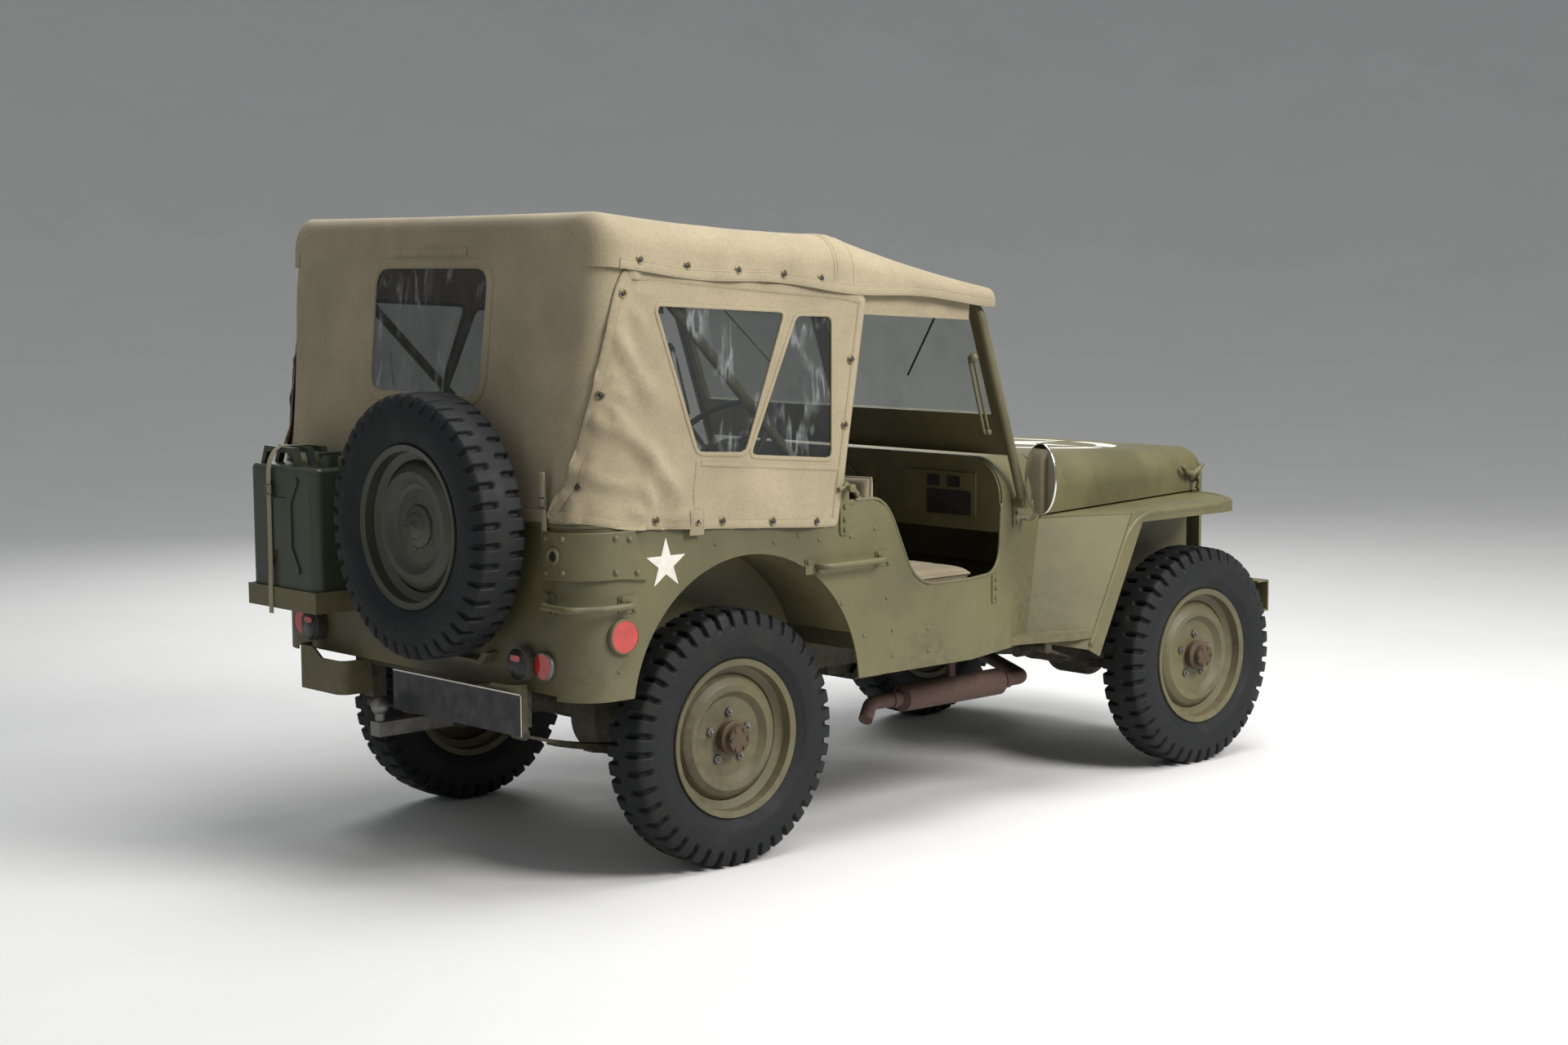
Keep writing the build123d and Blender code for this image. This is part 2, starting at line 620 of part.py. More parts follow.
with BuildPart() as cowl:
    for grow, mode in ((0, Mode.ADD), (wall, Mode.SUBTRACT)):
        foot = cowl_side_z + fit_gap - grow * 2
        back, front = (dash_x, firewall_x) if mode == Mode.ADD else (dash_x - 1, firewall_x + 1)
        sections = [arch_section(x, half - grow, cowl_top_z - grow, cowl_corner - grow, foot)
                    for x, half in ((back, side_half(dash_x)), (front, cowl_half))]
        loft(sections=sections, ruled=True, mode=mode)
    extrude(arch_section(firewall_x, cowl_half - wall - fit_gap, cowl_top_z, cowl_corner, toe_top_z - 40), amount=wall)
    for sign in (-1, 1):
        with Locations((hinge_x, sign * 190, hinge_z)):
            Cylinder(hinge_radius, 60, rotation=(90, 0, 0))
        with Locations((firewall_x - 14, sign * 190, cowl_top_z + 5)):
            Box(36, 60, 14)
save(cowl.part, "cowl")

# Instrument panel closing the cowl, gauges and glove box lid standing off it
dash_foot_z = 838.0
gauge_table = ((0, 950, 62), (-120, 985, 30), (-120, 915, 30), (120, 985, 30), (120, 915, 30))
with BuildPart() as dashboard:
    with BuildSketch(Plane.YZ.offset(dash_x - fit_gap - 6)):
        half = side_half(dash_x) - wall - 2 * fit_gap
        Polygon((-half, dash_foot_z), (half, dash_foot_z), (half, cowl_top_z), (-half, cowl_top_z), align=None)
    extrude(amount=6)
    fillet(dashboard.edges().filter_by(Axis.X).group_by(Axis.Z)[-1], cowl_corner)
    with BuildSketch(Plane.YZ.offset(dash_x - fit_gap - 12)):
        for y, z, radius in gauge_table:
            with Locations((y, z)):
                Circle(radius)
    extrude(amount=6)
    with Locations((dash_x - fit_gap - 9, -430, 945)):
        Box(8, 300, 130)
save(dashboard.part, "dashboard")


# Front fenders: flat top with a rolled lip, sloping apron behind the wheel, and a flared cheek to the cowl
fender_front_x = grille_x - 60.0
apron_in, apron_foot_z = 400.0, 560.0  # inner wall of the front wheel houses, clear of the tyres at full lock
flange = 55.0  # outer edge of the sloping part
fender_plan = [(firewall_x + 8, cowl_half - 3), (fender_bend_x, body_half), (fender_front_x - 150, body_half),
               (fender_front_x, body_half - 170), (grille_x - 30, apron_in), (firewall_x + 8, apron_in)]
with BuildPart() as fenders:
    for side, sign in sides:
        corners = [(x, sign * y) for x, y in fender_plan]
        for drop, inset, mode in ((fender_lip, 0, Mode.ADD), (fender_sheet, fender_sheet, Mode.SUBTRACT)):
            with BuildSketch(Plane.XY.offset(fender_z - fender_lip)) as top:
                outline(corners)
                fillet(top.vertices().sort_by_distance((fender_front_x, sign * body_half, 0))[0:2], 110)
                if inset:
                    offset(amount=-inset, mode=Mode.REPLACE)
            extrude(amount=fender_lip if not inset else fender_lip - fender_sheet, mode=mode)
        with BuildSketch(Plane.XZ.offset(-sign * apron_in)):
            outline(band([(fender_bend_x, fender_z - fender_sheet), (fender_foot_x, fender_foot_z)], -fender_sheet))
        extrude(amount=-sign * (body_half - apron_in))
        with BuildSketch(Plane.XZ.offset(-sign * (body_half - fender_sheet))):
            outline(band([(fender_bend_x, fender_z - fender_sheet), (fender_foot_x, fender_foot_z)], flange))
        extrude(amount=-sign * fender_sheet)
        slope = (fender_bend_x - fender_foot_x) / (fender_z - fender_sheet - fender_foot_z)
        with BuildSketch(Plane.XZ.offset(-sign * apron_in)):
            outline([(fender_foot_x + slope * (apron_foot_z - fender_foot_z), apron_foot_z), (grille_x - 45, apron_foot_z),
                     (grille_x - 45, fender_z - fender_sheet), (fender_bend_x, fender_z - fender_sheet)])
        extrude(amount=-sign * fender_sheet)
        seam = []
        for z in (fender_z - fender_sheet, sill_z + 10):
            x = seam_foot_x + (firewall_x - seam_foot_x) * (z - sill_z) / (fender_z - sill_z) + 2 * fit_gap
            seam.append((x, side_half(x), z))
        edge = [(fender_bend_x, body_half, fender_z - fender_sheet), (fender_foot_x, body_half, fender_foot_z)]
        cheek = []
        for high, low in (seam, edge):
            quad = [high, low, (low[0], low[1] - wall, low[2]), (high[0], high[1] - wall, high[2])]
            cheek.append(Face(Wire.make_polygon([(x, sign * y, z) for x, y, z in quad])))
        loft(sections=cheek, ruled=True)
        step_x = seam_foot_x + 12
        step = [(bend_x + 250, side_half(bend_x + 250) + fit_gap), (step_x, side_half(step_x) + fit_gap),
                (fender_foot_x + 10, body_half - 20), (fender_foot_x + 10, body_half), (fender_foot_x - 70, body_half)]
        with BuildSketch(Plane.XY.offset(sill_z + 6)):
            outline([(x, sign * y) for x, y in step])
        extrude(amount=26)
save(fenders.part, "fenders")

# Grille: upright slots between the lamp holes
slot_count, slot_pitch, slot_width = 9, 50.0, 30.0
slot_bottom_z, slot_top_z = 625.0, 945.0
lamp_y, lamp_z, lamp_radius = 318.0, 880.0, 88.0
marker_z, marker_radius = 720.0, 36.0
with BuildPart() as grille:
    with BuildSketch(Plane.YZ.offset(grille_x)) as stamped:
        Polygon((-grille_half, grille_bottom_z), (grille_half, grille_bottom_z), (grille_half, grille_top_z),
                (-grille_half, grille_top_z), align=None)
        fillet(stamped.vertices().group_by(Axis.Y)[-1], grille_corner)
        with Locations((0, (slot_bottom_z + slot_top_z) / 2)):
            with GridLocations(slot_pitch, 1, slot_count, 1):
                SlotOverall(slot_top_z - slot_bottom_z, slot_width, rotation=90, mode=Mode.SUBTRACT)
        with Locations((-lamp_y, lamp_z), (lamp_y, lamp_z)):
            Circle(lamp_radius, mode=Mode.SUBTRACT)
        with Locations((-lamp_y, marker_z), (lamp_y, marker_z)):
            Circle(marker_radius, mode=Mode.SUBTRACT)
    extrude(amount=grille_sheet)
save(grille.part, "grille")

# Headlamps and marker lamps behind their holes
with BuildPart() as headlamps:
    for sign in (-1, 1):
        for z, radius, depth in ((lamp_z, lamp_radius, 80), (marker_z, marker_radius, 40)):
            with BuildSketch(Plane((grille_x - fit_gap, sign * lamp_y, z), x_dir=(0, 1, 0), z_dir=(0, 0, -1))):
                outline([(0, -depth), (radius * 0.6, -depth), (radius - 4, -12), (radius + 9, -12), (radius + 9, 0),
                         (radius - 6, 0), (radius * 0.55, 9), (0, 12)])
            revolve(axis=Axis((grille_x, sign * lamp_y, z), (1, 0, 0)))
save(headlamps.part, "headlamps")

# Radiator on the front cross member
with BuildPart() as radiator:
    with Locations((grille_x - 95, 0, (grille_bottom_z + 960) / 2)):
        Box(55, 460, 960 - grille_bottom_z)
save(radiator.part, "radiator")

# Hood: lofted shell, hinge barrel along its rear edge
with BuildPart() as hood:
    for grow, mode in ((0, Mode.ADD), (hood_sheet, Mode.SUBTRACT)):
        reach = 1 if grow else 0
        sections = [arch_section(hood_back_x - reach, hood_rear_half - grow, hood_rear_z - grow, 110 - grow, hood_bottom_z - reach),
                    arch_section(hood_front_x + reach, hood_front_half - grow, hood_front_z - grow, 90 - grow, hood_bottom_z - reach)]
        loft(sections=sections, ruled=True, mode=mode)
    with Locations((hinge_x, 0, hinge_z)):
        Cylinder(hinge_radius, 320 - 2 * fit_gap, rotation=(90, 0, 0))
    with Locations((hood_back_x + 20, 0, hood_rear_z + 6)):
        Box(40, 300, 16)
save(hood.part, "hood")

# Windscreen on its pivots: tube frame, lower panel and sash in one leaning plane
screen_up = Vector(-sin(screen_lean), 0, cos(screen_lean))
screen_plane = Plane((screen_foot_x, 0, screen_foot_z), x_dir=(0, 1, 0), z_dir=(cos(screen_lean), 0, sin(screen_lean)))
panel_foot, panel_top, sash_foot, sash_bar = 152.0, 262.0, 250.0, 34.0
with BuildPart() as windscreen_frame:
    with BuildLine(screen_plane) as hoop:
        FilletPolyline((-screen_half, 0), (-screen_half, screen_height), (screen_half, screen_height), (screen_half, 0), radius=70)
    with BuildSketch(Plane(hoop.line @ 0, z_dir=hoop.line % 0)):
        Circle(screen_tube)
    sweep(path=hoop.line)
    with BuildSketch(screen_plane):
        with Locations((0, (panel_foot + panel_top) / 2)):
            Rectangle(2 * screen_half - 20, panel_top - panel_foot)
    extrude(amount=4, both=True)
    with BuildSketch(screen_plane):
        with Locations((0, (sash_foot + screen_height) / 2)):
            Rectangle(2 * screen_half - 20, screen_height - sash_foot)
        for sign in (-1, 1):
            with Locations((sign * (screen_half - 5) / 2, (sash_foot + screen_height) / 2)):
                Rectangle(screen_half - 5 - 2 * sash_bar, screen_height - sash_foot - 2 * sash_bar, mode=Mode.SUBTRACT)
    extrude(amount=9, both=True)
    pivot_in = side_half(screen_foot_x - pivot_radius) + fit_gap
    for sign in (-1, 1):
        with BuildSketch(Plane.XZ.offset(-sign * pivot_in)):
            with Locations((screen_foot_x, screen_foot_z)):
                Circle(pivot_radius)
        extrude(amount=-sign * (screen_half + 12 - pivot_in))
save(windscreen_frame.part, "windscreen_frame")
with BuildPart() as windscreen_glass:
    with BuildSketch(screen_plane):
        for sign in (-1, 1):
            with Locations((sign * (screen_half - 5) / 2, (sash_foot + screen_height) / 2)):
                Rectangle(screen_half - 5 - 2 * sash_bar - 2 * fit_gap, screen_height - sash_foot - 2 * sash_bar - 2 * fit_gap)
    extrude(amount=2.5, both=True)
save(windscreen_glass.part, "windscreen_glass")


# Bows: two tube hoops on one pair of feet, the front one upright and the rear one leaning back
def deck_top(station):
    """Height of the canvas deck at a station from the rear axle."""
    for (ax, _, az, _, _), (bx, _, bz, _, _) in zip(deck_table, deck_table[1:]):
        if ax <= station <= bx:
            return az + (bz - az) * (station - ax) / (bx - ax)


bow_table = [(rear_x + station, deck_top(station)) for station in (deck_table[1][0], deck_table[0][0] + 35)]
with BuildPart() as top_bows:
    for x, top in bow_table:
        foot_x = bow_foot_x + (18 if x > bow_foot_x else -18)
        head_z = top - canvas - bow_radius - 4
        lean = Vector(x - foot_x, 0, head_z - rail_top_z)
        bow_plane = Plane((foot_x, 0, rail_top_z), x_dir=(0, 1, 0), z_dir=Vector(0, 1, 0).cross(lean))
        with BuildLine(bow_plane) as hoop:
            FilletPolyline((-bow_half, 0), (-bow_half, lean.length), (bow_half, lean.length), (bow_half, 0), radius=90)
        with BuildSketch(Plane(hoop.line @ 0, z_dir=hoop.line % 0)):
            Circle(bow_radius)
        sweep(path=hoop.line)
    for side, sign in sides:
        with Locations((bow_foot_x, sign * (body_half - inside - 15), rail_top_z - 30)):
            Box(90, 30, 80)
save(top_bows.part, "top_bows")

# Canvas deck: a shell lofted over the bows to the windscreen, closed behind
with BuildPart() as canvas_top:
    for grow, mode in ((0, Mode.ADD), (canvas, Mode.SUBTRACT)):
        ends = (canvas, 0, 1) if grow else (0, 0, 0)
        sections = [arch_section(rear_x + x + end, half - grow, top - grow, radius - grow, foot - 3 * grow)
                    for (x, half, top, radius, foot), end in zip(deck_table, ends)]
        loft(sections=sections, ruled=True, mode=mode)
save(canvas_top.part, "canvas_top")

# Rear curtain: wraps the corners, from the deck down to the tub's rail, with one window
curtain_back_x = rear_x + deck_table[0][0]
curtain_top_z = deck_table[0][4] - 3 * fit_gap
curtain_table = (  # height, back, corner radius
    (rail_top_z + fit_gap, tail_x, corner_radius),
    (curtain_top_z, curtain_back_x, 80.0),
)
rear_window = (490.0, 1300.0, 1610.0)  # width, foot, head
with BuildPart() as rear_curtain:
    for grow, mode in ((0, Mode.ADD), (canvas, Mode.SUBTRACT)):
        sections = []
        for z, back, radius in curtain_table:
            level = z + (0 if not grow else (-1 if z < 1200 else 1))
            half = body_half - fit_gap - grow
            with BuildSketch(Plane.XY.offset(level), mode=Mode.PRIVATE) as plan:
                Polygon((back + grow, -half), (rear_x - 400 + grow, -half), (rear_x - 400 + grow, half),
                        (back + grow, half), align=None)
                fillet(plan.vertices().group_by(Axis.X)[0], radius - grow)
            sections.append(plan.sketch.faces()[0])
        loft(sections=sections, ruled=True, mode=mode)
    width, foot, head = rear_window
    with BuildSketch(Plane.YZ.offset(tail_x - 20)):
        with Locations((0, (foot + head) / 2)):
            RectangleRounded(width, head - foot, 40)
    extrude(amount=120, mode=Mode.SUBTRACT)
save(rear_curtain.part, "rear_curtain")

# Side curtains buttoned outside the tub, two windows each
curtain_outline = [(-462, curtain_foot_z + 60), (325, curtain_foot_z), (440, 1556), (359, 1566), (-400, 1636)]
pane_table = (
    [(-319, 1541), (127, 1515), (-17, 1146), (-181, 1156)],
    [(175, 1505), (303, 1500), (300, 1112), (4, 1138)],
)
with BuildPart() as side_curtains:
    for side, sign in sides:
        with BuildSketch(Plane.XZ.offset(-sign * curtain_y)):
            outline([(rear_x + x, z) for x, z in curtain_outline])
            for pane in pane_table:
                Polygon(*[(rear_x + x, z) for x, z in pane], align=None, mode=Mode.SUBTRACT)
        extrude(amount=-sign * canvas)
save(side_curtains.part, "side_curtains")

# Clear panes: side ones flat in their openings, the rear one on the curtain's slope
rear_slope = (curtain_back_x - tail_x) / (curtain_top_z - rail_top_z)
with BuildPart() as curtain_windows:
    for side, sign in sides:
        for pane in pane_table:
            with BuildSketch(Plane.XZ.offset(-sign * (curtain_y + 1))):
                Polygon(*[(rear_x + x, z) for x, z in pane], align=None)
                offset(amount=-fit_gap, mode=Mode.REPLACE)
            extrude(amount=-sign * (canvas - 2))
    with BuildPart(mode=Mode.PRIVATE) as pane:
        with BuildSketch(Plane.XZ):
            outline([(tail_x + rear_slope * (z - rail_top_z) + depth, z)
                     for z, depth in ((foot - 5, 1), (foot - 5, 4), (head + 5, 4), (head + 5, 1))])
        extrude(amount=width, both=True)
        with BuildSketch(Plane.YZ.offset(tail_x - 20)):
            with Locations((0, (foot + head) / 2)):
                RectangleRounded(width - 2 * fit_gap, head - foot - 2 * fit_gap, 40)
        extrude(amount=120, mode=Mode.INTERSECT)
    add(pane.part)
save(curtain_windows.part, "curtain_windows")

# Seats: tube legs and pans, cushions on top; two in front, one bench behind
seat_table = (  # middle Y, width, back of the pan, depth, floor under it, pan height
    (seat_y, seat_width, riser_x + 15, 430.0, floor_z + wall, 690.0),
    (-seat_y, seat_width, riser_x + 15, 430.0, floor_z + wall, 690.0),
    (0.0, 2 * (box_in - 80), rear_x - 400, 400.0, rear_floor_z + wall, 735.0),
)
pan_sheet, cushion, back_sheet, back_height = 12.0, 60.0, 22.0, 330.0
back_panel = 4.0
with BuildPart() as seat_frames:
    for y, width, back_x, depth, under_z, pan_z in seat_table:
        with Locations((back_x + depth / 2, y, pan_z - pan_sheet / 2)):
            Box(depth, width, pan_sheet)
        for x in (back_x + 30, back_x + depth - 30):
            with Locations(*[(x, y + sign * (width / 2 - 20), (under_z + fit_gap + pan_z - 4) / 2) for sign in (-1, 1)]):
                Cylinder(11, pan_z - 4 - under_z - fit_gap)
        tube = back_sheet / 2
        with BuildLine(Plane((back_x + tube, y, pan_z - pan_sheet / 2), x_dir=(0, 1, 0), z_dir=(1, 0, 0))) as hoop:
            side_y, top_z = width / 2 - tube, back_height + pan_sheet / 2 - tube
            FilletPolyline((-side_y, 0), (-side_y, top_z), (side_y, top_z), (side_y, 0), radius=70)
        with BuildSketch(Plane(hoop.line @ 0, z_dir=hoop.line % 0)):
            Circle(tube)
        sweep(path=hoop.line)
        with Locations((back_x + tube, y, pan_z + back_height * 0.55)):
            Box(back_panel, width - 2 * tube, back_height * 0.7)
save(seat_frames.part, "seat_frames")
with BuildPart() as seat_cushions:
    for y, width, back_x, depth, under_z, pan_z in seat_table:
        squab_x = back_x + back_sheet + fit_gap
        with Locations((squab_x + 20 + (depth - back_sheet) / 2, y, pan_z + fit_gap + cushion / 2)):
            Box(depth - back_sheet, width, cushion)
        with Locations((squab_x + cushion / 2, y, pan_z + cushion + 10 + (back_height - cushion) / 2)):
            Box(cushion, width - 20, back_height - cushion)
    fillet(seat_cushions.edges(), 14)
save(seat_cushions.part, "seat_cushions")

# Steering: column on the left from the toe board, and the wheel that turns on it
steer_z, steer_x = 1035.0, rear_x + 830.0
steer_lean = radians(45)
steer_axis = Vector(-cos(steer_lean), 0, sin(steer_lean))
steer_centre = Vector(steer_x, steer_y, steer_z)
steer_radius, grip = 219.0, 10.0
with BuildPart() as steering_column:
    with BuildSketch(Plane(steer_centre - steer_axis * 40, z_dir=steer_axis * -1)):
        Circle(20)
    extrude(amount=465)
    with BuildSketch(Plane(steer_centre - steer_axis * 46, z_dir=steer_axis)):
        Circle(9)
    extrude(amount=40)
    with Locations((dash_x - 27, steer_y, dash_foot_z - 3)):
        Box(40, 50, 60)
save(steering_column.part, "steering_column")
with BuildPart() as steering_wheel:
    rim_plane = Plane(steer_centre, x_dir=(0, 1, 0), z_dir=steer_axis)
    with BuildSketch(Plane(steer_centre, x_dir=(0, 1, 0), z_dir=Vector(0, 1, 0).cross(steer_axis))):
        with Locations((steer_radius, 0)):
            Circle(grip)
    revolve(axis=Axis(steer_centre, steer_axis))
    with BuildSketch(rim_plane.offset(-30)):
        Circle(32)
        Circle(9 + fit_gap, mode=Mode.SUBTRACT)
    extrude(amount=42)
    with BuildSketch(rim_plane.offset(0)):
        Circle(30)
        with PolarLocations(steer_radius / 2, 3, start_angle=90):
            Rectangle(steer_radius, 16)
    extrude(amount=6)
save(steering_wheel.part, "steering_wheel")

# Levers and pedals
with BuildPart() as controls:
    for x, y, lean, reach in ((rear_x + 985, 0, -10, 330), (rear_x + 930, -60, -14, 250), (rear_x + 930, -100, -14, 250)):
        with BuildSketch(Plane((x, y, floor_z + wall + fit_gap + 6), z_dir=(sin(radians(lean)), 0, cos(radians(lean))))):
            Circle(8)
        extrude(amount=reach)
        tip = Vector(x + sin(radians(lean)) * reach, y, floor_z + wall + cos(radians(lean)) * reach)
        with Locations(tip):
            Sphere(19)
        with Locations((x, y, floor_z + wall + 2 * fit_gap + 4)):
            Cylinder(26, 8)
save(controls.part, "controls")

# Spare carrier on the rear panel, and the cradle below it
cradle_y, cradle_z = spare_y + 4.0, spare_z - tyre_radius - move_gap + 26
with BuildPart() as spare_carrier:
    plate_x = spare_x - disc_face + rim_sheet + fit_gap
    with BuildSketch(Plane.YZ.offset(plate_x)):
        with Locations((spare_y, spare_z)):
            Circle(70)
    extrude(amount=8)
    for y in (-90, 90):
        with BuildSketch(Plane.XZ.offset(-(spare_y + y))):
            outline([(plate_x, spare_z + 30), (plate_x + 8, spare_z + 30), (tail_x - fit_gap, rail_top_z - 60),
                     (tail_x - fit_gap, rail_top_z - 200), (plate_x + 8, spare_z - 60), (plate_x, spare_z - 60)])
        extrude(amount=4, both=True)
    with BuildSketch(Plane.YZ.offset(plate_x)):
        with Locations((spare_y, spare_z - 15)):
            Rectangle(188, 90)
    extrude(amount=8)
    with BuildSketch(Plane.YZ.offset(tail_x - fit_gap)):
        outline([(cradle_y - 152, cradle_z), (cradle_y + 152, cradle_z), (cradle_y + 118, cradle_z - 34), (cradle_y - 118, cradle_z - 34)])
        Polygon((cradle_y - 126, cradle_z), (cradle_y + 126, cradle_z), (cradle_y + 104, cradle_z - 24), (cradle_y - 104, cradle_z - 24),
                align=None, mode=Mode.SUBTRACT)
    extrude(amount=-30)
save(spare_carrier.part, "spare_carrier")

# Liquid can in its tray
can_x, can_top = tail_x - 14 - can_depth / 2, can_z + can_height
rib_width, rib_height = 26.0, 5.0
with BuildPart() as jerry_can:
    with Locations((can_x, can_y, can_z + can_height / 2 - 25)):
        Box(can_depth, can_width, can_height - 50)
    fillet(jerry_can.edges().filter_by(Axis.Z), 30)
    fillet(jerry_can.faces().sort_by(Axis.Z)[-1].edges(), 14)
    with BuildSketch(Plane.YZ.offset(can_x - can_depth / 2)):
        with Locations((can_y, can_z + can_height / 2 + 10)):
            for turn in (-1, 1):
                SlotOverall(can_height - 130, rib_width, rotation=turn * 58)
            RectangleRounded(110, 150, 24)
    extrude(amount=-rib_height)
    for x in (-45, 0, 45):
        with BuildSketch(Plane.YZ.offset(can_x + x - 9)):
            outline([(can_y - 48, can_top - 52), (can_y - 25, can_top), (can_y + 130, can_top), (can_y + 152, can_top - 52),
                     (can_y + 134, can_top - 52), (can_y + 118, can_top - 16), (can_y - 14, can_top - 16), (can_y - 30, can_top - 52)])
        extrude(amount=18)
    with Locations((can_x, can_y - 118, can_top - 38)):
        Cylinder(28, 40)
    with Locations((can_x, can_y - 118, can_top - 16)):
        Box(76, 22, 12)
save(jerry_can.part, "jerry_can")
with BuildPart() as can_rack:
    tray = (can_depth + 22, can_width + 12, 60)
    with Locations((tail_x - fit_gap - tray[0] / 2, can_y, can_z - fit_gap - 5 + tray[2] / 2)):
        Box(*tray)
        Box(tray[0] - 10, tray[1] - 10, tray[2] - 10, mode=Mode.SUBTRACT)
    with Locations((tail_x - fit_gap - tray[0] / 2, can_y, can_z - fit_gap + 40)):
        Box(tray[0] - 10, tray[1] - 10, 80, mode=Mode.SUBTRACT)
save(can_rack.part, "can_rack")

# Grab handles on the sides and round the rear corners
handle_radius, handle_stand = 9.0, 40.0
handle_in = seam_y - 20.0  # inner foot of the corner handles
with BuildPart() as grab_handles:
    for side, sign in sides:
        face, reach = sign * (body_half + fit_gap), sign * (body_half + handle_stand)
        with BuildLine() as bar:
            FilletPolyline((rear_x + 245, face, 815), (rear_x + 245, reach, 815), (rear_x + 490, reach, 815),
                           (rear_x + 490, face, 815), radius=28)
        with BuildSketch(Plane(bar.line @ 0, z_dir=bar.line % 0)):
            Circle(handle_radius)
        sweep(path=bar.line)
        with BuildLine() as bar:
            FilletPolyline((tail_x - fit_gap, sign * handle_in, 775), (tail_x - handle_stand, sign * handle_in, 775),
                           (tail_x - handle_stand, reach - sign * 40, 775), (tail_x + 40, reach, 775),
                           (tail_x + 150, reach, 775), (tail_x + 150, face, 775), radius=28)
        with BuildSketch(Plane(bar.line @ 0, z_dir=bar.line % 0)):
            Circle(handle_radius)
        sweep(path=bar.line)
save(grab_handles.part, "grab_handles")

# Rear lamps, and reflectors behind and on the sides
lamp_table = (  # Y, Z, radius, depth
    (body_half - 233.0, 612.0, 46.0, 34.0),
    (body_half - 150.0, 612.0, 34.0, 14.0),
)
with BuildPart() as rear_lamps:
    for side, sign in sides:
        for y, z, radius, depth in lamp_table:
            with BuildSketch(Plane.YZ.offset(tail_x - fit_gap)):
                with Locations((sign * y, z)):
                    Circle(radius)
            extrude(amount=-depth)
        with BuildSketch(Plane.XZ.offset(-sign * (body_half + fit_gap))):
            with Locations((rear_x - 443, 692)):
                Circle(42)
        extrude(amount=-sign * 12)
save(rear_lamps.part, "rear_lamps")

# Mirrors on arms from the cowl sides
mirror_x, mirror_z = rear_x + 1130.0, 1000.0
mirror_y = max(screen_half, side_half(mirror_x) + 30) + 80.0  # clear of the screen and of the cowl side
with BuildPart() as mirrors:
    for side, sign in sides:
        with BuildSketch(Plane.YZ.offset(mirror_x)):
            with Locations((sign * mirror_y, mirror_z)):
                Ellipse(58, 104)
        extrude(amount=16)
        root_y = side_half(mirror_x + 53) + fit_gap
        with BuildLine() as arm:
            FilletPolyline((mirror_x + 60, sign * root_y, 870), (mirror_x + 60, sign * (root_y + 40), 870),
                           (mirror_x + 20, sign * mirror_y, mirror_z - 60), (mirror_x + 10, sign * mirror_y, mirror_z), radius=12)
        with BuildSketch(Plane(arm.line @ 0, z_dir=arm.line % 0)):
            Circle(7)
        sweep(path=arm.line)
save(mirrors.part, "mirrors")
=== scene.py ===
import bmesh
import bpy
import numpy as np
from mathutils import Matrix, Vector
from mathutils.geometry import delaunay_2d_cdt


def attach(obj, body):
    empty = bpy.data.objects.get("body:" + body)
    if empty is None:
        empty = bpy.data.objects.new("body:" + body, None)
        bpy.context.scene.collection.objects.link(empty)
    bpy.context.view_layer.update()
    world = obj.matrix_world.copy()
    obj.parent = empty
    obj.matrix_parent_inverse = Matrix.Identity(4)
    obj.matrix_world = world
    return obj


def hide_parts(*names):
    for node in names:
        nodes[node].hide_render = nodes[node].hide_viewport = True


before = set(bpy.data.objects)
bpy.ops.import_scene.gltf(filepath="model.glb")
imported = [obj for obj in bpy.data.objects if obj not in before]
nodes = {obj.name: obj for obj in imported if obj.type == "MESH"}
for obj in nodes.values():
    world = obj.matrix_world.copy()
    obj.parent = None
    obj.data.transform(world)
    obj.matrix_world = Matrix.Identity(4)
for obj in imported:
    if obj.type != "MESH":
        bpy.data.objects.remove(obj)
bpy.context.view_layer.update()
scene = bpy.context.scene
scene.view_settings.view_transform = "Standard"
print("frame loaded:", len(nodes), "nodes")

rearX = -0.879  # rear axle in the shared frame; stations below count from it
frontX = rearX + 2.032
wheelZ = 0.356
halfTrack = 0.613
tubHalf = 0.735
tubTail = -0.575
hoodBack, hoodLength = 1.321, 1.003
sides = (("Left", 1.0), ("Right", -1.0))
outY, upZ, aft = np.array([0, 1.0, 0]), np.array([0, 0, 1.0]), np.array([-1.0, 0, 0])


# a wrapped socket: sums, differences and products of it add Math nodes
class Wire:
    def __init__(self, bench, socket):
        self.bench, self.socket = bench, socket

    def maths(self, operation, first, second):
        return self.bench.node("ShaderNodeMath", {"operation": operation}, {0: first, 1: second})

    def __add__(self, other):
        return self.maths("ADD", self, other)

    def __sub__(self, other):
        return self.maths("SUBTRACT", self, other)

    def __rsub__(self, other):
        return self.maths("SUBTRACT", other, self)

    def __mul__(self, other):
        return self.maths("MULTIPLY", self, other)

    __radd__ = __add__
    __rmul__ = __mul__


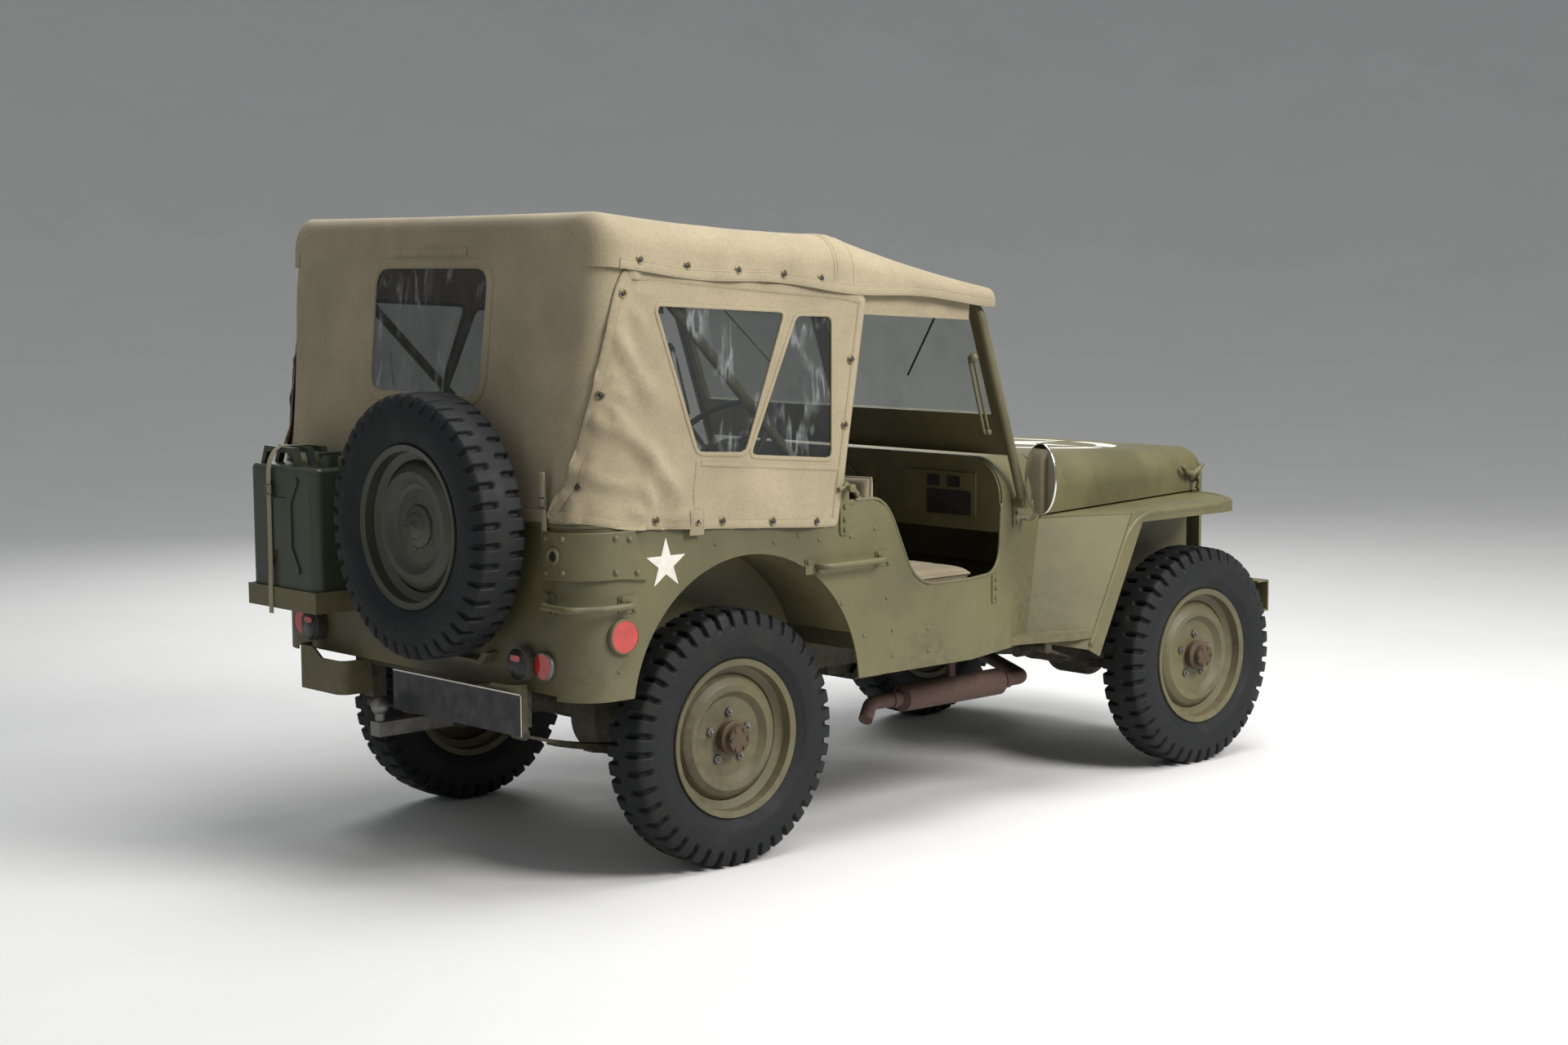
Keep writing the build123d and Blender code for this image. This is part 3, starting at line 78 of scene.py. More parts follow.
class Bench:
    def __init__(self, name):
        self.material = bpy.data.materials.new(name)
        self.material.use_nodes = True
        self.tree = self.material.node_tree
        self.tree.nodes.clear()
        self.output = self.tree.nodes.new("ShaderNodeOutputMaterial")
        self.place = self.node("ShaderNodeTexCoord", out="Object")

    # any node: its settings first, then the values or links of its sockets
    def node(self, kind, settings=None, inputs=None, out=0):
        made = self.tree.nodes.new(kind)
        for key, value in (settings or {}).items():
            if key == "stops":
                ramp = made.color_ramp.elements
                while len(ramp) < len(value):
                    ramp.new(0.5)
                for element, (position, shade) in zip(ramp, value):
                    element.position, element.color = position, (*shade, 1.0)
            else:
                setattr(made, key, value)
        for key, value in (inputs or {}).items():
            if isinstance(value, Wire):
                self.tree.links.new(value.socket, made.inputs[key])
            else:
                made.inputs[key].default_value = value
        return Wire(self, made.outputs[out])

    def noise(self, scale, detail=3.0, rough=0.55, where=None):
        inputs = {"Vector": where or self.place, "Scale": scale, "Detail": detail, "Roughness": rough}
        return self.node("ShaderNodeTexNoise", {}, inputs)

    def step(self, value, low, high, floor=0.0, top=1.0):
        inputs = {"Value": value, "From Min": low, "From Max": high, "To Min": floor, "To Max": top}
        return self.node("ShaderNodeMapRange", {"interpolation_type": "SMOOTHSTEP"}, inputs)

    def mix(self, factor, first, second):
        first, second = (shade if isinstance(shade, Wire) else (*shade, 1.0) for shade in (first, second))
        return self.node("ShaderNodeMix", {"data_type": "RGBA"}, {0: factor, 6: first, 7: second}, out=2)

    def bump(self, height, strength, distance=0.001):
        return self.node("ShaderNodeBump", {}, {"Strength": strength, "Distance": distance, "Height": height})

    def show(self, shader):
        self.tree.links.new(shader.socket, self.output.inputs["Surface"])
        return self.material

    def close(self, **sockets):
        named = {key.replace("_", " "): value for key, value in sockets.items()}
        return self.show(self.node("ShaderNodeBsdfPrincipled", {}, named))


# dull olive paint: two greens clouded together, road dust rising from the ground, small chips and rubbed spots
paintSettings = {"light": (0.118, 0.106, 0.046), "deep": (0.076, 0.069, 0.030), "dust": (0.190, 0.160, 0.098),
                 "chip": (0.048, 0.034, 0.020)}


def paintFinish(name, light, deep, dustShare, roughness, chips=0.2):
    bench = Bench(name)
    clouds, grain = bench.noise(2.6, 5.0, 0.6), bench.noise(38.0, 4.0)
    height = bench.node("ShaderNodeSeparateXYZ", {}, {0: bench.place}, out="Z")
    body = bench.mix(bench.step(clouds, 0.32, 0.68), deep, light)
    low = bench.step(height + (clouds - 0.5) * 0.5, 0.85, 0.25)
    dusty = bench.mix(low * bench.step(grain, 0.3, 0.7) * dustShare, body, paintSettings["dust"])
    spots = bench.step(bench.noise(21.0, 7.0, 0.62), 0.70, 0.74) * chips
    rough = bench.step(grain, 0.2, 0.8, roughness - 0.07, roughness + 0.09) + low * 0.12
    return bench.close(Base_Color=bench.mix(spots, dusty, paintSettings["chip"]), Roughness=rough,
                       Normal=bench.bump(bench.noise(210.0, 2.0), 0.12))


# cotton duck: warp and weft ridges along the sheet's own UV in metres, faded clouds, dark stitches from an attribute
canvasSettings = {"light": (0.318, 0.266, 0.168), "deep": (0.238, 0.196, 0.120), "stitch": (0.120, 0.096, 0.060),
                  "thread": 0.0026}
waveTurn = 0.314  # a Wave node's scale times its pitch in metres


def canvasFinish(name, light, deep):
    bench = Bench(name)
    flat = bench.node("ShaderNodeUVMap", {"uv_map": "cloth"})
    weave = []
    for turn in (0.0, 1.5708):
        turned = bench.node("ShaderNodeMapping", {}, {"Vector": flat, "Rotation": (0.0, 0.0, turn)})
        inputs = {"Vector": turned, "Scale": waveTurn / canvasSettings["thread"] / 2, "Distortion": 0.6, "Detail": 1.0}
        weave.append(bench.node("ShaderNodeTexWave", {"wave_profile": "SIN"}, inputs, out="Fac"))
    clouds = bench.noise(3.2, 6.0, 0.62)
    cloth = bench.mix(bench.step(clouds, 0.30, 0.70), deep, light)
    fibre = bench.mix(bench.step(bench.noise(120.0, 3.0), 0.35, 0.75) * 0.22, cloth, canvasSettings["stitch"])
    seam = bench.node("ShaderNodeAttribute", {"attribute_name": "seam"}, {}, out="Fac")
    relief = (weave[0] * 0.5 + weave[1] * 0.5) * 0.35 + bench.noise(46.0, 4.0) * 0.5 - seam * 0.9
    return bench.close(Base_Color=bench.mix(seam * 0.55, fibre, canvasSettings["stitch"]),
                       Roughness=bench.step(clouds, 0.2, 0.8, 0.86, 0.97), Normal=bench.bump(relief, 0.35, 0.0016),
                       Sheen_Weight=0.12, Sheen_Roughness=0.6)


# tyre rubber: blue-black, greyer where dust sits in the clouds
def rubberFinish():
    bench = Bench("agedRubber")
    clouds = bench.noise(9.0, 6.0, 0.65)
    dust = bench.step(clouds, 0.48, 0.76) * 0.34
    return bench.close(Base_Color=bench.mix(dust, (0.0085, 0.0090, 0.0102), (0.040, 0.038, 0.034)),
                       Roughness=bench.step(clouds, 0.3, 0.7, 0.58, 0.82),
                       Normal=bench.bump(bench.noise(160.0, 3.0), 0.22), Specular_IOR_Level=0.3)


# rusted or worn metal: three shades through a ramp of layered noise
def rustFinish(name, stops, roughness, metallic):
    bench = Bench(name)
    layers = bench.noise(34.0, 8.0, 0.68) * 0.7 + bench.noise(5.0, 4.0) * 0.3
    colour = bench.node("ShaderNodeValToRGB", {"stops": stops}, {"Fac": layers})
    rough = bench.step(layers, 0.3, 0.7, roughness - 0.1, roughness + 0.1)
    return bench.close(Base_Color=colour, Roughness=rough, Metallic=metallic, Normal=bench.bump(layers, 0.5, 0.0012))


# clear sheet or glass: a little smeared, mixed with a see-through shader; soft sheet ripples and shows pale broken
# crease lines, painted glints drawn out upright, where a slow noise passes its middle
def clearFinish(name, tint, body, hazeShare, roughness, ripple=0.0, creaseGlints=0.0):
    bench = Bench(name)
    drawn = bench.node("ShaderNodeMapping", {}, {"Vector": bench.place, "Scale": (1.0, 1.0, 0.24)})
    away = bench.node("ShaderNodeMath", {"operation": "ABSOLUTE"}, {0: bench.noise(13.0, 3.0, 0.5, drawn) - 0.5})
    # pale crease lines: painted glints, a lighter colour and a thicker haze along each line
    crease = bench.step(away, 0.045, 0.0) * bench.step(bench.noise(8.0, 3.0), 0.44, 0.70) * creaseGlints
    haze = bench.step(bench.noise(6.0, 5.0, 0.6), 0.40, 0.80) * hazeShare + body + crease * 0.5
    inputs = {"Base Color": bench.mix(crease, tint, (0.52, 0.54, 0.55)), "Roughness": roughness, "IOR": 1.45,
              "Normal": bench.bump(bench.noise(7.0, 2.0, 0.4), ripple, 0.02)}
    gloss = bench.node("ShaderNodeBsdfPrincipled", {}, inputs)
    through = bench.node("ShaderNodeBsdfTransparent", {}, {"Color": (0.90, 0.91, 0.89, 1.0)})
    return bench.show(bench.node("ShaderNodeMixShader", {}, {0: haze, 1: through, 2: gloss}))


# bright or moulded pieces: one colour with fine smears in the gloss
def glossFinish(name, colour, deep, roughness, metallic=0.0, coat=0.0):
    bench = Bench(name)
    smear = bench.noise(24.0, 5.0, 0.6)
    return bench.close(Base_Color=bench.mix(bench.step(smear, 0.35, 0.75) * 0.6, colour, deep), Metallic=metallic,
                       Roughness=bench.step(smear, 0.25, 0.75, roughness * 0.7, roughness * 1.5), Coat_Weight=coat)


# fluted lens: upright ribs at a pitch in metres, bright over dull along each rib as painted highlights, under a clear
# coat
def lensFinish(name, bright, dull, pitch):
    bench = Bench(name)
    inputs = {"Vector": bench.place, "Scale": waveTurn / pitch}
    ribs = bench.node("ShaderNodeTexWave", {"bands_direction": "Y"}, inputs, out="Fac")
    return bench.close(Base_Color=bench.mix(bench.step(ribs, 0.15, 0.85), dull, bright), Roughness=0.12, Metallic=0.4,
                       Coat_Weight=1.0, Normal=bench.bump(ribs, 0.35, 0.002))


oliveDrab = paintFinish("oliveDrab", paintSettings["light"], paintSettings["deep"], 0.42, 0.52)
darkOlive = paintFinish("darkOlive", (0.050, 0.046, 0.026), (0.030, 0.028, 0.018), 0.40, 0.62)
wheelOlive = paintFinish("wheelOlive", (0.106, 0.094, 0.043), (0.066, 0.057, 0.027), 0.26, 0.50, 0.35)
# spare wheel paint: its own greener olive, darkened further as painted shade of the rear where the spare hangs
spareOliveShaded = paintFinish("spareOliveShaded", (0.046, 0.047, 0.029), (0.029, 0.030, 0.019), 0.05, 0.46, 0.15)
# jerry can paint: its own olive green, darkened further as painted shade of the rear where the can hangs
canGreenShaded = paintFinish("canGreenShaded", (0.036, 0.044, 0.024), (0.024, 0.030, 0.016), 0.06, 0.36, 0.10)
seatDuck = canvasFinish("seatDuck", (0.300, 0.252, 0.160), (0.205, 0.168, 0.104))
topDuck = canvasFinish("topDuck", canvasSettings["light"], canvasSettings["deep"])
agedRubber = rubberFinish()
hubRust = rustFinish("hubRust", [(0.25, (0.036, 0.026, 0.017)), (0.52, (0.082, 0.055, 0.032)),
                                 (0.78, (0.140, 0.098, 0.060))], 0.72, 0.30)
pipeRust = rustFinish("pipeRust", [(0.25, (0.034, 0.020, 0.016)), (0.50, (0.078, 0.044, 0.034)),
                                   (0.80, (0.130, 0.082, 0.064))], 0.80, 0.25)
bareSteel = rustFinish("bareSteel", [(0.25, (0.10, 0.095, 0.085)), (0.55, (0.20, 0.19, 0.175)),
                                     (0.80, (0.29, 0.28, 0.265))], 0.46, 0.85)
brass = rustFinish("brass", [(0.25, (0.100, 0.078, 0.040)), (0.55, (0.200, 0.160, 0.085)),
                             (0.80, (0.300, 0.250, 0.150))], 0.40, 0.85)
screenGlass = clearFinish("screenGlass", (0.06, 0.07, 0.07), 0.14, 0.08, 0.03)
# curtain panes: the dark tint and the large opaque share are painted shade of the dark inside behind them; the pale
# crease lines are painted glints
curtainClearShadeGlint = clearFinish("curtainClearShadeGlint", (0.036, 0.039, 0.040), 0.48, 0.14, 0.045, 0.30, 0.42)
lampGlass = lensFinish("lampGlass", (0.58, 0.60, 0.59), (0.30, 0.32, 0.32), 0.0095)
lampRed = glossFinish("lampRed", (0.42, 0.018, 0.012), (0.23, 0.010, 0.008), 0.16, 0.0, 0.6)
brightRim = glossFinish("brightRim", (0.70, 0.70, 0.69), (0.48, 0.48, 0.47), 0.14, 1.0)
mirrorFace = glossFinish("mirrorFace", (0.84, 0.86, 0.86), (0.74, 0.76, 0.76), 0.03, 1.0)
plateBlack = glossFinish("plateBlack", (0.0085, 0.0085, 0.009), (0.014, 0.014, 0.015), 0.42)
markWhite = glossFinish("markWhite", (0.62, 0.60, 0.54), (0.42, 0.40, 0.34), 0.55)
print("finishes mixed")

nodeFinish = {
    oliveDrab: ["hood", "side_left", "side_right", "rear_panel", "wheel_boxes", "cowl", "dashboard", "grille",
                "fenders", "windscreen_frame", "front_bumper", "bumperettes", "floor", "grab_handles",
                "spare_carrier", "can_rack", "seat_frames", "top_bows"],
    wheelOlive: ["wheel_front_left", "wheel_front_right", "wheel_rear_left", "wheel_rear_right"],
    spareOliveShaded: ["spare_wheel"],
    darkOlive: ["frame", "front_axle", "rear_axle", "leaf_springs", "dampers", "knuckle_left", "knuckle_right",
                "tie_rod", "propshafts", "power_unit", "radiator", "steering_column", "controls", "steering_wheel"],
    bareSteel: ["tow_ball"],
    topDuck: ["canvas_top", "rear_curtain", "side_curtains"],
    seatDuck: ["seat_cushions"],
    curtainClearShadeGlint: ["curtain_windows"],
    screenGlass: ["windscreen_glass"],
    lampGlass: ["headlamps"],
    lampRed: ["rear_lamps"],
    canGreenShaded: ["jerry_can"],
    pipeRust: ["exhaust"],
    brightRim: ["mirrors"],
    agedRubber: ["tyre_front_left", "tyre_front_right", "tyre_rear_left", "tyre_rear_right", "spare_tyre"],
}
for material, names in nodeFinish.items():
    for name in names:
        nodes[name].data.materials.clear()
        nodes[name].data.materials.append(material)
print("nodes finished")

madePieces = []


# a mesh piece from whole arrays of points and faces, with its finish and body; the slot name is not used
def addPiece(name, points, faces, material, body="chassis", smooth=True, slotName=None):
    mesh = bpy.data.meshes.new(name)
    mesh.from_pydata(np.asarray(points, float).reshape(-1, 3).tolist(), [], np.asarray(faces).tolist())
    mesh.validate()
    mesh.polygons.foreach_set("use_smooth", np.full(len(mesh.polygons), smooth))
    mesh.materials.append(material)
    mesh.update()
    piece = bpy.data.objects.new(name, mesh)
    scene.collection.objects.link(piece)
    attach(piece, body)
    madePieces.append(piece)
    return piece


# a place by its station from the rear axle
def spot(x, y, z):
    return np.array([rearX + x, y, z])


def unit(ways):
    return ways / np.linalg.norm(ways, axis=-1, keepdims=True)


# quads of a grid of rows by columns; either way may close on itself
def gridFaces(rows, columns, closeRows=False, closeColumns=False):
    down, across = np.arange(rows if closeRows else rows - 1), np.arange(columns if closeColumns else columns - 1)
    i, j = np.meshgrid(down, across, indexing="ij")
    below, beside = (i + 1) % rows, (j + 1) % columns
    corners = [i * columns + j, i * columns + beside, below * columns + beside, below * columns + j]
    return np.stack(corners, -1).reshape(-1, 4)


def smoothStep(value, low, high):
    t = np.clip((value - low) / (high - low), 0.0, 1.0)
    return t * t * (3.0 - 2.0 * t)


# tyres: a profile of sidewall and crown carried round the axle; round-ended slots are sunk from each shoulder,
# half a pitch apart on the two halves, and run out over the sidewall
tyreSettings = {"bars": 42, "rows": 78, "wall": 13, "shoulder": 0.33, "depth": 0.0140, "slot": 0.32, "soft": 0.030,
                "rib": 0.016, "tread": 0.352, "out": 0.304, "fade": 0.022,
                "knots": [(0.0, -0.050, 0.2072), (0.10, -0.0615, 0.2262), (0.22, -0.0765, 0.258),
                          (0.30, -0.0795, 0.285), (0.37, -0.0765, 0.318), (0.40, -0.0700, 0.3395),
                          (0.415, -0.0640, 0.3500), (0.43, -0.0570, 0.3535), (0.5, 0.0, 0.3560)],
                "ridges": [(0.31, 0.0016), (0.38, 0.0012)], "ridgeWidth": 0.008}


def tyreSurface(s):
    knots = np.array(s["knots"])
    mirrored = knots[::-1] * np.array([-1.0, -1.0, 1.0]) + np.array([1.0, 0, 0])
    knots = np.vstack([knots, mirrored[1:]])
    shoulder, wall = s["shoulder"], s["wall"]
    crown = np.linspace(shoulder, 1 - shoulder, s["rows"] - 2 * wall)
    v = np.concatenate([np.linspace(0.0, shoulder, wall)[:-1], crown, np.linspace(1 - shoulder, 1.0, wall)[1:]])
    across, radius = (np.interp(v, knots[:, 0], knots[:, k]) for k in (1, 2))
    ridge = sum(high * np.exp(-((np.abs(v - 0.5) - at) / s["ridgeWidth"]) ** 2) for at, high in s["ridges"])
    slopeR, slopeY = np.gradient(radius), np.gradient(across)
    length = np.hypot(slopeR, slopeY)
    edge, soft = s["slot"] / 2, s["soft"]
    marks = np.array([-edge - soft, -edge, -edge + soft, 0.0, edge - soft, edge, edge + soft, 0.25])
    phases = np.sort(np.concatenate([marks, marks + 0.5]) % 1.0)
    u = ((np.arange(s["bars"])[:, None] + phases[None, :]) * 2 * np.pi / s["bars"]).ravel()
    turn, y = np.meshgrid(u, across, indexing="ij")
    phase = (turn * s["bars"] / (2 * np.pi) + np.where(y > 0, 0.0, 0.5) + 0.5) % 1.0 - 0.5
    pitch = 2 * np.pi * s["tread"] / s["bars"]
    away = np.hypot(phase * pitch, np.clip(s["rib"] + pitch * edge - np.abs(y), 0, None))
    slot = smoothStep(away, (edge + soft * 0.6) * pitch, (edge - soft * 0.6) * pitch)
    slot = slot * smoothStep(np.broadcast_to(radius, y.shape), s["out"], s["out"] + s["fade"])
    sunk = ridge - s["depth"] * slot
    r, y = radius + sunk * slopeY / length, y - sunk * slopeR / length
    points = np.stack([r * np.cos(turn), y, r * np.sin(turn)], -1).reshape(-1, 3)
    return points, gridFaces(len(u), len(v), closeRows=True)


tyrePoints, tyreFaces = tyreSurface(tyreSettings)
wheelPlaces = {}
for end, x in (("front", frontX), ("rear", rearX)):
    for side, sign in (("left", 1.0), ("right", -1.0)):
        wheelPlaces[f"{end}_{side}"] = (f"wheel_{end}_{side}", np.array([x, sign * halfTrack, wheelZ]), sign)
for key, (body, centre, sign) in wheelPlaces.items():
    points = tyrePoints * np.array([1.0, sign, 1.0]) + centre
    piece = addPiece("tyreTread_" + key, points, tyreFaces if sign > 0 else tyreFaces[:, ::-1], agedRubber, body)
    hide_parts("tyre_" + key)
spareCentre = spot(-0.692, -0.222, 0.962)
# rows: where the tyre's own x, y and z go; y goes to -X
spareTurn = np.array([[0.0, 0.0, 1.0], [-1.0, 0.0, 0.0], [0.0, -1.0, 0.0]])
piece = addPiece("tyreTread_spare", tyrePoints @ spareTurn + spareCentre, tyreFaces, agedRubber)
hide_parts("spare_tyre")
print("tyres turned")


# a profile (across, up) carried along a path; up is given at each point, across is up turned round the path;
# capped ends draw the profile in to the path
def sweepProfile(path, up, profile, closePath=False, closeProfile=False, caps=False):
    path, profile = np.asarray(path, float), np.asarray(profile, float)
    up = np.broadcast_to(np.asarray(up, float), path.shape)
    ahead = unit(np.roll(path, -1, 0) - np.roll(path, 1, 0) if closePath else np.gradient(path, axis=0))
    across = unit(np.cross(ahead, up))
    up = np.cross(across, ahead)
    scale = np.ones(len(path))
    if caps:
        path, across, up = (np.vstack([array[:1], array, array[-1:]]) for array in (path, across, up))
        scale = np.concatenate([[0.0], scale, [0.0]])
    spread = profile[None] * scale[:, None, None]
    points = path[:, None, :] + across[:, None, :] * spread[:, :, :1] + up[:, None, :] * spread[:, :, 1:]
    return points.reshape(-1, 3), gridFaces(len(path), len(profile), closePath, closeProfile)


# a round bar along a path, capped where the path is open
def barSet(path, up, radius, count=8, closed=False):
    turn = np.linspace(0, 2 * np.pi, count, endpoint=False)
    profile = np.stack([radius * np.cos(turn), -radius * np.sin(turn)], -1)
    return sweepProfile(path, up, profile, closed, True, not closed)


# a rounded path through corners: each corner is cut short and bridged by a quadratic curve
def roundedPath(corners, cut, steps=6, closed=False):
    corners = np.asarray(corners, float)
    before, after = np.roll(corners, 1, 0), np.roll(corners, -1, 0)
    reachIn, reachOut = (np.linalg.norm(other - corners, axis=1, keepdims=True) for other in (before, after))
    start = corners + (before - corners) / reachIn * np.minimum(cut, reachIn * 0.45)
    end = corners + (after - corners) / reachOut * np.minimum(cut, reachOut * 0.45)
    t = np.linspace(0, 1, steps)[None, :, None]
    curve = (1 - t) ** 2 * start[:, None] + 2 * t * (1 - t) * corners[:, None] + t ** 2 * end[:, None]
    if closed:
        return curve.reshape(-1, corners.shape[1])
    return np.vstack([corners[:1], curve[1:-1].reshape(-1, corners.shape[1]), corners[-1:]])


# a path sampled again at even steps
def evenPath(path, step, closed=False):
    path = np.asarray(path, float)
    path = np.vstack([path, path[:1]]) if closed else path
    lengths = pathLengths(path)
    marks = np.linspace(0, lengths[-1], max(int(lengths[-1] / step), 3), endpoint=not closed)
    return np.stack([np.interp(marks, lengths, path[:, k]) for k in range(path.shape[1])], -1)


def pathLengths(path):
    return np.concatenate([[0.0], np.cumsum(np.linalg.norm(np.diff(path, axis=0), axis=1))])


# several point and face sets as one
def joinSets(*sets):
    starts = np.cumsum([0] + [len(points) for points, _ in sets])
    faces = [np.asarray(faces) + start for (_, faces), start in zip(sets, starts)]
    return np.vstack([points for points, _ in sets]), np.vstack(faces)


# which points lie inside a closed outline: count of edges crossed by a ray
def insideLoop(points, loop):
    a, b = loop, np.roll(loop, -1, 0)
    x, y = points[:, 0, None], points[:, 1, None]
    crosses = (a[None, :, 1] > y) != (b[None, :, 1] > y)
    rise = np.where(b[:, 1] == a[:, 1], 1e-12, b[:, 1] - a[:, 1])
    at = a[None, :, 0] + (y - a[None, :, 1]) * ((b[:, 0] - a[:, 0]) / rise)[None, :]
    return (crosses & (x < at)).sum(1) % 2 == 1


# distance of points to a closed outline
def loopDistance(points, loop):
    a, b = loop[None], np.roll(loop, -1, 0)[None]
    p = points[:, None]
    along = np.clip(((p - a) * (b - a)).sum(-1) / np.maximum(((b - a) ** 2).sum(-1), 1e-12), 0, 1)
    return np.linalg.norm(p - a - along[..., None] * (b - a), axis=-1).min(1)


# flat cloth cut to an outline with openings: an even lattice and the edges, triangulated together
def cutCloth(outline, openings, spacing):
    loops = [evenPath(loop, spacing, True) for loop in (outline, *openings)]

    def within(points):
        holes = [insideLoop(points, loop) for loop in loops[1:]]
        return insideLoop(points, loops[0]) & ~np.any(holes or [False], axis=0)

    low, high = loops[0].min(0), loops[0].max(0)
    lattice = np.stack(np.meshgrid(*(np.arange(low[k], high[k], spacing) for k in (0, 1))), -1).reshape(-1, 2)
    lattice = lattice + (np.arange(len(lattice)) % 2)[:, None] * np.array([0.0, spacing * 0.3])
    lattice = lattice[within(lattice)]
    clear = np.min([loopDistance(lattice, loop) for loop in loops], axis=0) > spacing * 0.45
    points = np.vstack(loops + [lattice[clear]])
    edges, start = [], 0
    for loop in loops:
        ring = np.arange(start, start + len(loop))
        edges += np.stack([ring, np.roll(ring, -1)], -1).tolist()
        start += len(loop)
    flat, _, faces, *_ = delaunay_2d_cdt([Vector(p) for p in points.tolist()], edges, [], 0, 1e-6)
    flat, faces = np.array(flat), np.array(faces)
    return flat, faces[within(flat[faces].mean(1))]


# cloth measure for the weave: each corner carries its place on the flat sheet, in metres
def clothMap(piece, flat):
    mesh = piece.data
    corners = np.empty(len(mesh.loops), np.int32)
    mesh.loops.foreach_get("vertex_index", corners)
    layer = mesh.uv_layers.new(name="cloth")
    layer.data.foreach_set("uv", np.asarray(flat, float)[corners].astype(np.float32).ravel())


def seamMarks(piece, marks):
    layer = piece.data.attributes.new("seam", "FLOAT", "POINT")
    layer.data.foreach_set("value", marks.astype(np.float32))


# thickness drawn inwards; edges with one face only are kept crisp
def thicken(piece, thickness):
    mesh = piece.data
    edgeOf = np.empty(len(mesh.loops), np.int32)
    mesh.loops.foreach_get("edge_index", edgeOf)
    mesh.edges.foreach_set("use_edge_sharp", np.bincount(edgeOf, minlength=len(mesh.edges)) == 1)
    solid = piece.modifiers.new("thickness", "SOLIDIFY")
    solid.thickness, solid.offset = thickness, -1.0


# area of a set of faces, for the sheets' flat sizes: the triangles of each face's fan
def surfaceArea(points, faces):
    total = 0.0
    for k in range(1, faces.shape[1] - 1):
        a, b, c = (points[faces[:, corner]] for corner in (0, k, k + 1))
        total += np.linalg.norm(np.cross(b - a, c - a), axis=1).sum() / 2
    return round(float(total), 3)


hemProfile = np.array([[-0.5, 0.0], [-0.47, 0.9], [-0.41, 1.0], [-0.37, 0.8], [-0.33, 1.0],
                       [0.33, 1.0], [0.37, 0.8], [0.41, 1.0], [0.47, 0.9], [0.5, 0.0]])
hemStitch = np.array([0, 0, 0, 1.0, 0, 0, 1.0, 0, 0, 0])


# a stitched binding: a low strip along a path on the cloth, with a row of stitches near each edge
def hemStrip(name, path, up, width, closed=False, thick=0.0013):
    points, faces = sweepProfile(path, up, hemProfile * np.array([width, thick]), closePath=closed)
    piece = addPiece(name, points, faces, topDuck)
    length = pathLengths(np.asarray(path))
    clothMap(piece, np.stack([np.repeat(length, len(hemProfile)), np.tile(hemProfile[:, 0] * width, len(length))], -1))
    seamMarks(piece, np.tile(hemStitch, len(length)))
    return piece


# a closed flat path moved sideways: inward where the amount is positive
def shiftLoop(loop, amount):
    after, before = np.roll(loop, -1, 0), np.roll(loop, 1, 0)
    turning = np.sign((loop[:, 0] * after[:, 1] - after[:, 0] * loop[:, 1]).sum())
    ahead = after - before
    return loop + unit(np.stack([-ahead[:, 1], ahead[:, 0]], -1)) * amount * turning


# canvas deck: an arch of valance, rounded corner and flat crown carried from the tail to the windscreen, sagging
# between the bows, with ripples growing towards the hem; the rear end is drawn in by quarter rounds in plan and height
deckSettings = {"stations": [-0.505, 0.350, 0.984], "half": [0.748, 0.748, 0.722], "top": [1.790, 1.726, 1.570],
                "corner": [0.085, 0.095, 0.034], "foot": [1.640, 1.570, 1.520], "endPlan": 0.075, "endTop": 0.050,
                "sag": 0.022, "crease": 0.0035, "ripple": 0.0040, "flare": 0.002, "scallop": 0.006, "thick": 0.003,
                "rows": 170, "valance": 12, "arc": 12, "crown": 70, "hem": 0.028, "hemRise": 0.013, "hemStart": 0.060,
                "pocket": 0.085, "pocketLift": (0.0005, 0.0012)}


